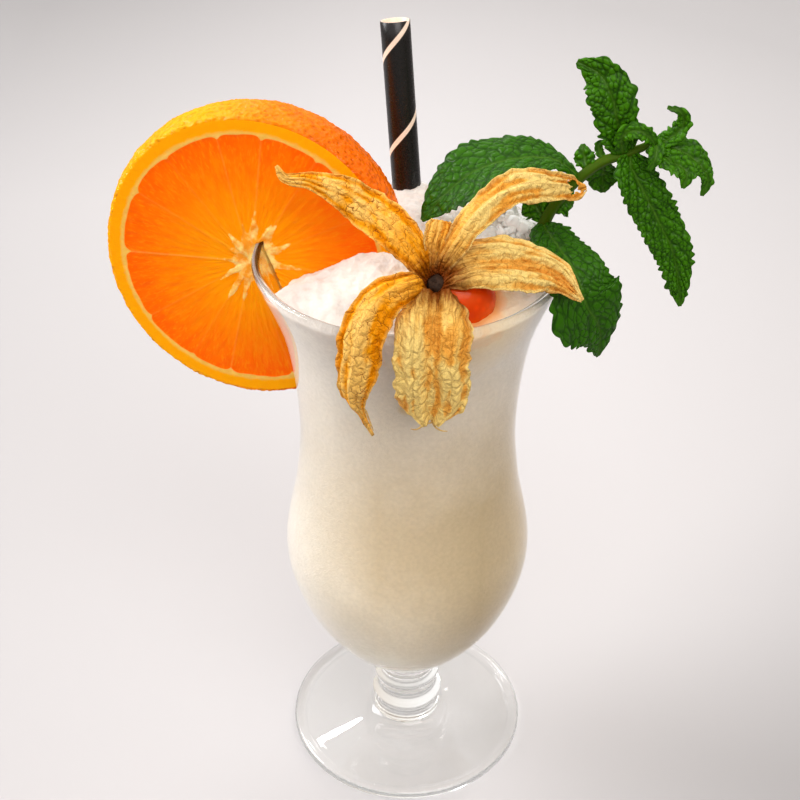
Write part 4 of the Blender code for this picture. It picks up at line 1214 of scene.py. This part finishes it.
def lobe_point(number, across, travelled, width, rib, ribs):
    """How far a point of a lobe lies out to its side and towards its face, and how high on a pleat it is."""
    spot = (across * width, travelled, number * 13.0)
    edge_spot = (travelled, math.copysign(3.0, across), number * 9.0)
    ragged = 1.0 + RAGGEDNESS * roughness_at(edge_spot, EDGE_SIZE)
    wander = roughness_at((across * width, travelled * 0.35, number * 21.0), 5.0)
    pleat = 0.5 - 0.5 * math.cos(math.pi * ribs * (across + 1.0))
    fold = 0.5 + 0.5 * math.cos(math.tau * (1.2 * ribs + 0.8) * across + 2.4 * wander)
    crinkle = roughness_at((spot[0], spot[1] * 0.4, spot[2]), CRINKLE_SIZE)
    crease = abs(roughness_at((spot[0], spot[1] * 0.6, spot[2]), CREASE_SIZE))
    flare = across**4 * roughness_at((travelled, number * 5.0, 2.0 + across), FLARE_SIZE)
    lift = (PLEAT_RISE * rib * pleat + FOLD_RISE * fold) * min(width / 3.0, 1.0)
    fine = (CRINKLE_RISE * crinkle + CREASE_RISE * crease + FLARE_RISE * flare) * min(width / 2.5, 1.0)
    return width * across * ragged, lift + fine, 0.5 * pleat + 0.35 * fold + 0.8 * crinkle


def husk_lobe(number, form):
    """One lobe of the husk, pleated, crinkled and ragged along its edges, with its fields at every point."""
    (first, last), facing, middle, ribs, rib, _ = form
    columns = range(HUSK_COLUMNS + 1)
    across_all = [1.0 - 2.0 * column / HUSK_COLUMNS for column in columns]
    path = smooth_path(middle, HUSK_STEPS)
    grid, marks = [], []
    travelled = 0.0
    for row, (point, (side, face)) in enumerate(zip(path, frames_along(path, facing))):
        if row:
            travelled += float(np.linalg.norm(point[:3] - path[row - 1][:3]))
        width = max(point[3], THINNEST)
        places = [lobe_point(number, across, travelled, width, rib, ribs) for across in across_all]
        grid.append([Vector(point[:3]) - side * out + face * lift for out, lift, _ in places])
        marks.append([(across, width, ridge) for across, (_, _, ridge) in zip(across_all, places)])
    ring = [husk_ring(first + (last - first) * column / HUSK_COLUMNS) for column in columns]
    if (grid[0][0] - ring[0]).length > (grid[0][-1] - ring[0]).length:
        ring = ring[::-1]
    facing = Vector(HUSK_FACING).normalized()
    near, near_marks = [], []
    for row in range(ROWS_AT_SCAR):
        share = row / ROWS_AT_SCAR
        fold = [SCAR_FOLD * math.sin(math.pi * share) * math.cos(15.0 * across) for across in across_all]
        near.append([ring[c].lerp(grid[0][c], share) + facing * fold[c] for c in columns])
        width = HUSK_SCAR_RADIUS + share * (marks[0][0][1] - HUSK_SCAR_RADIUS)
        near_marks.append([(across, width, 0.3) for across in across_all])
    return near + grid, near_marks + marks


def torn(spot):
    """Whether the paper has gone at a point."""
    ragged = 1.0 + 0.5 * roughness_at(spot, 1.0, 3)
    return any((Vector(middle) - Vector(spot)).length < radius * ragged for middle, radius in HUSK_HOLES)


def husk_mesh():
    """All lobes, with fields that say where on its lobe each point lies."""
    lobes = []
    fields = {"across": [], "from_scar": [], "off_rib": [], "off_edge": [], "ridge": [], "dried": []}
    for number, form in enumerate(HUSK_LOBES.values()):
        grid, marks = husk_lobe(number, form)
        ribs, dried = form[3], form[5]
        middle = HUSK_COLUMNS // 2
        out = 0.0
        for index, mark in enumerate(marks):
            if index:
                out += (grid[index][middle] - grid[index - 1][middle]).length
            for across, width, ridge in mark:
                to_rib = min(abs(across - (2.0 * (k + 0.5) / ribs - 1.0)) for k in range(ribs)) * width
                fields["across"].append(across * width + number * 50.0)
                fields["from_scar"].append(out)
                fields["off_rib"].append(min(to_rib, 2.0))
                fields["off_edge"].append((1.0 - abs(across)) * width)
                fields["ridge"].append(ridge)
                fields["dried"].append(dried)
        lobes.append(skin(grid, closed=False))
    points, faces = joined(lobes)
    return (points, [face for face in faces if not torn(points[face[0]])]), fields


def thread_mesh():
    """Dry threads that curl from the tips of the lower lobes."""
    threads = []
    for thread in HUSK_THREADS:
        path = smooth_path(thread, 6)
        rows = []
        for index, (point, (side, face)) in enumerate(zip(path, frames_along(path, (0.0, -1.0, 0.3)))):
            radius = THREAD_RADIUS - THREAD_TAPER * index / (len(path) - 1)
            turns = [math.tau * corner / THREAD_SIDES for corner in range(THREAD_SIDES)]
            spokes = [side * math.cos(turn) + face * THREAD_FLATNESS * math.sin(turn) for turn in turns]
            rows.append([Vector(point) + spoke * radius for spoke in spokes])
        threads.append(skin(rows, capped=True))
    return joined(threads)


def thread_skin(settings):
    """A dried lobe's tip, rolled into a stiff thread: fibrous, dull and darker than the paper."""
    material, add, shader, place = start_material("dried_rolled_tip")
    fibres = add("TexNoise", place, 900.0, 3.0)
    colour = add("Mix", fibres, settings.vein_colour, settings.pale_colour)
    bump = add("Bump", Height=fibres, Strength=0.6, Distance=0.2 * MM)
    fill(shader, {"Base Color": colour, "Normal": bump, "Roughness": 0.6})
    return material


def corky_scar():
    """Where the stalk came off: dark dry cork, dull and pitted."""
    material, add, shader, place = start_material("dry_stalk_scar")
    pits = add("TexNoise", place, 1200.0, 3.0)
    colour = add("Mix", pits, linear("140A04"), linear("4A2C10"))
    bump = add("Bump", Height=pits, Strength=0.8, Distance=0.4 * MM)
    fill(shader, {"Base Color": colour, "Normal": bump, "Roughness": 0.8})
    return material


def scar_mesh():
    """A small lobed button over the scar."""
    facing = Vector(HUSK_FACING).normalized()
    right, up = square_to(facing)
    rows = []
    for share, rise in BUTTON_OUTLINE:
        rows.append([])
        for side in range(BUTTON_SIDES if share else 1):
            turn = math.tau * side / BUTTON_SIDES
            lobing = 1.0 + BUTTON_LOBING * math.cos(BUTTON_LOBES * turn)
            reach = BUTTON_SHARE * HUSK_SCAR_RADIUS * share * lobing
            lumpy = rise + 0.15 * roughness_at((reach * math.cos(turn), reach * math.sin(turn), 3.0), 0.9)
            spoke = right * math.cos(turn) + up * math.sin(turn)
            rows[-1].append(Vector(HUSK_CENTRE) + spoke * reach + facing * lumpy)
    return skin(rows)


class AddHusk(bpy.types.Operator):
    """Adds the dry husk and the scar of its stalk"""

    bl_idname = "milkshake.add_husk"
    bl_label = "Add husk"

    def execute(self, context):
        settings = context.scene.milkshake_husk
        shape, fields = husk_mesh()
        husk = add_piece("open_husk", shape, dry_husk(settings), "physalis_husk", fields)
        give_thickness(husk, settings.thickness / MM)
        add_piece("husk_threads", thread_mesh(), thread_skin(settings), "physalis_husk")
        scar = add_piece("husk_scar", scar_mesh(), corky_scar(), "physalis_husk")
        give_thickness(scar, BUTTON_THICKNESS)
        return {"FINISHED"}


def berry_skin(settings):
    """A ripe berry's skin: thin, tight and glossy, with the flesh glowing through."""
    material, add, shader, place = start_material("ripe_berry_skin")
    patches = add("TexNoise", place, 130.0, 2.0)
    seeds = add("TexVoronoi", place, 480.0)
    blush = add("Mix", patches, settings.skin_colour, settings.pale_colour)
    seen = add("MapRange", seeds, 0.1, 0.5, 1.08, 0.94)
    colour = add("Mix", 1.0, blush, seen, blend_type="MULTIPLY")
    bump = add("Bump", Height=seeds, Strength=0.06, Distance=0.2 * MM)
    fill(shader, {
        "Base Color": colour, "Normal": bump, "Roughness": 0.2, "Subsurface Weight": 0.5,
        "Subsurface Radius": (1.0, 0.3, 0.05), "Subsurface Scale": 3.0 * MM, "Specular IOR Level": 0.2,
        "Coat Weight": 0.1, "Coat Roughness": 0.08,
    })
    return material


class AddBerry(bpy.types.Operator):
    """Adds the cape gooseberry"""

    bl_idname = "milkshake.add_berry"
    bl_label = "Add berry"

    def execute(self, context):
        outline = []
        for step in range(BERRY_RINGS + 1):
            angle = math.pi * step / BERRY_RINGS - math.pi / 2
            radius = max(BERRY_RADIUS * math.cos(angle), 0.0)
            dimple = BERRY_DIMPLE * math.exp(-(((angle - math.pi / 2) / DIMPLE_SPREAD) ** 2))
            outline.append((radius, (BERRY_RADIUS - dimple) * math.sin(angle)))
        points, faces = turned(outline, BERRY_SIDES)
        shape = [Vector(point) + Vector(BERRY_CENTRE) for point in points], faces
        add_piece("berry", shape, berry_skin(context.scene.milkshake_berry), "physalis_berry")
        return {"FINISHED"}


# Mint


def mint_blade(settings):
    """A fresh mint leaf: quilted between its veins, satin on top, bright where light comes through, and
    painted darker in its creases.
    """
    material, add, shader, place = start_material("fresh_mint_leaf")
    quilt, vein, youth = fields_of(add, "quilt", "vein", "youth")
    # Painted shade: the leaf is darker down in the creases between its swells and lighter on their tops, with
    # noise patches on top.
    patches = add("TexNoise", place, 260.0, 3.0)
    raised = add("Math", patches, 0.5, quilt, operation="MULTIPLY_ADD")
    light = add("MapRange", raised, 0.1, 1.05)
    top = add("Mix", youth, settings.leaf_colour, settings.young_colour)
    leaf = add("Mix", light, settings.deep_tone_and_shade_colour, top)
    colour = add("Mix", vein, leaf, settings.vein_colour)
    down = add("TexNoise", place, 1700.0, 2.0)
    cells = add("TexVoronoi", place, 950.0, feature="SMOOTH_F1")
    relief = add("Math", down, 0.3, cells, operation="MULTIPLY_ADD")
    bump = add("Bump", Height=relief, Strength=0.35, Distance=0.3 * MM)
    fill(shader, {
        "Base Color": colour, "Normal": bump, "Roughness": 0.32, "Specular IOR Level": 0.35, "IOR": 1.42,
    })
    through = add("BsdfTranslucent", colour, bump)
    mix_shaders(material, add, MINT_THROUGH, shader, through)
    return material


def swells(across, along, number, cell):
    """Height of a leaf's skin, from 0 in the creases of its small veins to 1 on the swells they frame."""
    near, next_one = noise.voronoi(Vector((across, along * 0.85, number * 7.0)) / cell)[0][:2]
    return 1.0 - math.exp(-7.0 * (next_one - near))


def tooth(along, number, across):
    """How far the edge stands out at a place along it: rounded teeth of uneven size."""
    count = math.floor(along)
    spot = Vector((count * 1.7 + 0.5, number * 3.1, 7.0 + math.copysign(2.0, across)))
    size = SMALLEST_TOOTH + TOOTH_GROWTH * noise.cell(spot) ** 2
    return size * (math.sin(math.pi * (along - count) ** 1.7) - 0.4)


def leaf_mesh(number, form, quilting):
    """One leaf: toothed, folded along its midrib and puckered between its veins."""
    facing, facing_at_tip, midrib = form
    rough_path = smooth_path(midrib, 2)
    length = sum(float(np.linalg.norm(b[:3] - a[:3])) for a, b in zip(rough_path, rough_path[1:]))
    widest = max(point[3] for point in midrib)
    steps = max(8, round(length / LEAF_MESH_SIZE / (len(midrib) - 1)))
    columns = 2 * max(8, round(widest / LEAF_MESH_SIZE))
    path = smooth_path(midrib, steps)
    side_veins = max(3, round(length / VEIN_SPACING))
    teeth = max(5, round(length / TOOTH_SPACING))
    broad = widest > BROAD_LEAF
    cell, share_of_quilting = BROAD_SWELLS if broad else SMALL_SWELLS
    height = share_of_quilting * quilting
    wave_share = 0.05 if broad else 0.13
    youth = YOUTH_BROAD if broad else YOUTH_LONG if length > LONG_LEAF else YOUTH_SMALL
    rows = []
    fields = {"quilt": [], "vein": [], "youth": []}
    travelled = 0.0
    for row, (point, (side, face)) in enumerate(zip(path, frames_along(path, facing, facing_at_tip))):
        if row:
            travelled += float(np.linalg.norm(point[:3] - path[row - 1][:3]))
        share = travelled / length
        width = max(point[3], THINNEST)
        along_teeth = share * teeth + 0.25 * math.sin(share * 23.0 + number)
        small = min(width / 2.2, 1.0)
        rows.append([])
        for column in range(columns + 1):
            across = 2.0 * column / columns - 1.0
            out = across * width
            teeth_out = small * abs(across) ** 7 * tooth(along_teeth + 0.4 * (across > 0), number, across)
            edge = across * (width + teeth_out)
            wander = 0.035 * roughness_at((out, travelled, number * 7.0), 5.0)
            stagger = 0.5 / side_veins if across > 0 else 0.0
            run = (share - VEIN_SLANT * abs(across) ** 1.15 + wander + stagger) * side_veins
            off_vein = abs(run - round(run)) / side_veins * length
            swell = swells(out, travelled, number, cell)
            swell = swell * min(off_vein / 0.85, 1.0) * min(abs(out) / 0.9, 1.0)
            coarse = 0.5 * roughness_at((out, travelled, number * 11.0), 2.6)
            fade = small * (1.0 - 0.7 * abs(across) ** 12)
            lift = width * LEAF_FOLD * (abs(across) - 0.6 * across**2)
            wave = wave_share * width * across**2 * math.sin(travelled * 0.42 + number + 2.0 * across)
            rise = lift + wave + height * (swell + coarse) * fade
            rows[-1].append(Vector(point[:3]) + side * edge + face * rise)
            midrib_mark = math.exp(-((out / MIDRIB_HALF) ** 2)) * (1.0 - 0.5 * share)
            side_mark = math.exp(-((off_vein / VEIN_HALF) ** 2)) * (1.0 - abs(across))
            fields["quilt"].append(swell)
            fields["vein"].append(min(0.6 * midrib_mark + 0.12 * side_mark, 1.0))
            fields["youth"].append(youth)
    return skin(rows, closed=False), fields


def stalk_skin(settings):
    """A fresh mint stalk: square, ribbed and slightly downy."""
    material, add, shader, place = start_material("fresh_mint_stalk")
    patches = add("TexNoise", place, 320.0, 3.0)
    colour = add("Mix", patches, linear("3E5A0A"), settings.stalk_colour)
    bump = add("Bump", Height=patches, Strength=0.3, Distance=0.3 * MM)
    fill(shader, {
        "Base Color": colour, "Normal": bump, "Roughness": 0.5, "Specular IOR Level": 0.15,
        "Subsurface Weight": 0.2, "Subsurface Scale": 1.0 * MM,
    })
    return material


def stalk_mesh():
    """The stalk, thicker where leaves grow from it."""
    path = smooth_path([(*point, radius) for point, radius in zip(STALK, STALK_RADIUS)], STALK_STEPS)
    rows = []
    for point, (side, face) in zip(path, frames_along(path, (0.0, -1.0, 0.0))):
        rows.append([])
        for corner in range(STALK_SIDES):
            turn = math.tau * corner / STALK_SIDES
            uneven = 0.05 * roughness_at(point[:3] + turn, 2.0)
            reach = point[3] * (1.0 + 0.09 * math.cos(4.0 * turn) + uneven)
            rows[-1].append(Vector(point[:3]) + (side * math.cos(turn) + face * math.sin(turn)) * reach)
    return skin(rows, capped=True)


class AddMint(bpy.types.Operator):
    """Adds the mint's stalk and all its leaves"""

    bl_idname = "milkshake.add_mint"
    bl_label = "Add mint"

    def execute(self, context):
        settings = context.scene.milkshake_mint
        add_piece("mint_stalk", stalk_mesh(), stalk_skin(settings), "mint_sprig")
        material = mint_blade(settings)
        for number, (name, form) in enumerate(LEAVES.items()):
            shape, fields = leaf_mesh(number, form, settings.quilting / MM)
            leaf = add_piece("mint_leaf_" + name, shape, material, "mint_sprig", fields)
            give_thickness(leaf, LEAF_THICKNESS)
        return {"FINISHED"}


# Stage


def matt_floor(settings):
    """Plain painted board, rolled matt: pale, barely mottled, and shaded to its sides and its near right."""
    material, add, shader, place = start_material("matt_painted_board")
    mottle = add("TexNoise", place, 8.0, 3.0)
    axes = add("SeparateXYZ", place)
    across = axes.outputs["X"]
    left = add("MapRange", across, -260.0 * MM, -30.0 * MM, 0.8)
    right = add("MapRange", across, 280.0 * MM, 20.0 * MM, 0.9)
    nearer = add("Math", across, axes.outputs["Y"], operation="SUBTRACT")
    shadow = add("MapRange", nearer, 220.0 * MM, 0.0, 0.72, interpolation_type="SMOOTHSTEP")
    far = add("VectorMath", place, (-150.0 * MM, 130.0 * MM, 0.0), operation="DISTANCE")
    corner = add("MapRange", far, 620.0 * MM, 240.0 * MM, 0.76)
    across_fading = add("Math", left, right, operation="MULTIPLY")
    corner_fading = add("Math", corner, shadow, operation="MULTIPLY")
    fading = add("Math", across_fading, corner_fading, operation="MULTIPLY")
    uneven = add("MapRange", mottle, 0.0, 1.0, 0.985, 1.0)
    tone = add("Math", fading, uneven, operation="MULTIPLY")
    colour = add("Mix", 1.0, settings.floor_colour, tone, blend_type="MULTIPLY")
    fill(shader, {"Base Color": colour, "Roughness": 0.6, "Specular IOR Level": 0.2})
    return material


def aim(thing, place, target):
    """Puts a lamp or camera at a place and points it at a target, both in millimetres."""
    thing.location = Vector(place) * MM
    thing.rotation_euler = (Vector(target) - Vector(place)).to_track_quat("-Z", "Y").to_euler()


def soft_light(name, power, place, target, sides, colour, mirrored, lighting):
    """A soft light of a given width and height. Shiny things may mirror it, and it may light dull ones."""
    lamp = bpy.data.lights.new(name, "AREA")
    lamp.shape = "RECTANGLE"
    lamp.size, lamp.size_y = (side * MM for side in sides)
    lamp.energy = power
    lamp.color = colour
    thing = bpy.data.objects.new(name, lamp)
    thing.visible_glossy = mirrored
    thing.visible_transmission = mirrored
    thing.visible_diffuse = lighting
    bpy.context.scene.collection.objects.link(thing)
    aim(thing, place, target)


def studio_world():
    """Even pale light all round, a little weaker and warmer on the right, and dark below the floor's edge."""
    world = bpy.data.worlds.new("studio")
    world.use_nodes = True
    add = partial(add_node, world.node_tree)
    way = add("TexCoord").outputs["Generated"]
    axes = add("SeparateXYZ", way)
    low = add("MapRange", axes.outputs["Z"], -0.05, 0.3)
    right = add("MapRange", axes.outputs["X"], -0.3, 0.9)
    above = add("Mix", right, linear("FAF9F8"), linear("D9CFC2"))
    tone = add("Mix", low, linear("8C8C8A"), above)
    fill(world.node_tree.nodes["Background"], {"Color": tone, "Strength": 1.0})
    bpy.context.scene.world = world


class AddStage(bpy.types.Operator):
    """Adds the floor, the lights, the camera and the look of the picture"""

    bl_idname = "milkshake.add_stage"
    bl_label = "Add stage"

    def execute(self, context):
        scene = context.scene
        settings = scene.milkshake_stage
        corners = [(-1, -1), (1, -1), (1, 1), (-1, 1)]
        mesh = bpy.data.meshes.new("floor")
        points = [(x * FLOOR_HALF, y * FLOOR_HALF, FLOOR_LEVEL) for x, y in corners]
        mesh.from_pydata(points, [], [(0, 1, 2, 3)])
        mesh.materials.append(matt_floor(settings))
        floor = bpy.data.objects.new("floor", mesh)
        scene.collection.objects.link(floor)
        studio_world()
        for name, form in LIGHTS.items():
            soft_light(name + "_light", getattr(settings, name + "_power"), *form)
        camera = bpy.data.objects.new("camera", bpy.data.cameras.new("camera"))
        scene.collection.objects.link(camera)
        camera.location = Vector(CAMERA_PLACE) * MM
        camera.rotation_euler = (math.pi / 2 - CAMERA_DOWN, 0.0, 0.0)
        camera.data.sensor_width = SENSOR_WIDTH
        camera.data.lens = CAMERA_FOCAL_PIXELS * SENSOR_WIDTH / PHOTO_SIDE
        camera.data.clip_start = NEAR_CLIP
        scene.camera = camera
        scene.view_settings.view_transform = "Standard"
        scene.view_settings.look = "Medium High Contrast"
        return {"FINISHED"}


# The add-on


class MilkshakePanel(bpy.types.Panel):
    """Lists the pieces of the milkshake with what a user may change"""

    bl_label = "Milkshake"
    bl_idname = "VIEW3D_PT_milkshake"
    bl_space_type = "VIEW_3D"
    bl_region_type = "UI"
    bl_category = "Milkshake"

    def draw(self, context):
        for operator, group in PIECES:
            box = self.layout.box()
            box.operator(operator.bl_idname)
            settings = getattr(context.scene, group)
            for name in settings.__annotations__:
                box.prop(settings, name)


PIECES = (
    (AddGlass, "milkshake_glass"),
    (AddDrink, "milkshake_drink"),
    (AddOrange, "milkshake_orange"),
    (AddStraw, "milkshake_straw"),
    (AddHusk, "milkshake_husk"),
    (AddBerry, "milkshake_berry"),
    (AddMint, "milkshake_mint"),
    (AddStage, "milkshake_stage"),
)
SETTINGS = (GlassSettings, DrinkSettings, OrangeSettings, StrawSettings,
            HuskSettings, BerrySettings, MintSettings, StageSettings)


def register():
    for (operator, group), settings in zip(PIECES, SETTINGS):
        bpy.utils.register_class(settings)
        setattr(bpy.types.Scene, group, PointerProperty(type=settings))
        bpy.utils.register_class(operator)
    bpy.utils.register_class(MilkshakePanel)


def unregister():
    bpy.utils.unregister_class(MilkshakePanel)
    for (operator, group), settings in zip(PIECES, SETTINGS):
        bpy.utils.unregister_class(operator)
        delattr(bpy.types.Scene, group)
        bpy.utils.unregister_class(settings)


def main():
    register()
    for operator, _ in PIECES:
        group, name = operator.bl_idname.split(".")
        getattr(getattr(bpy.ops, group), name)()
    bpy.context.view_layer.update()


if __name__ == "__main__":
    main()
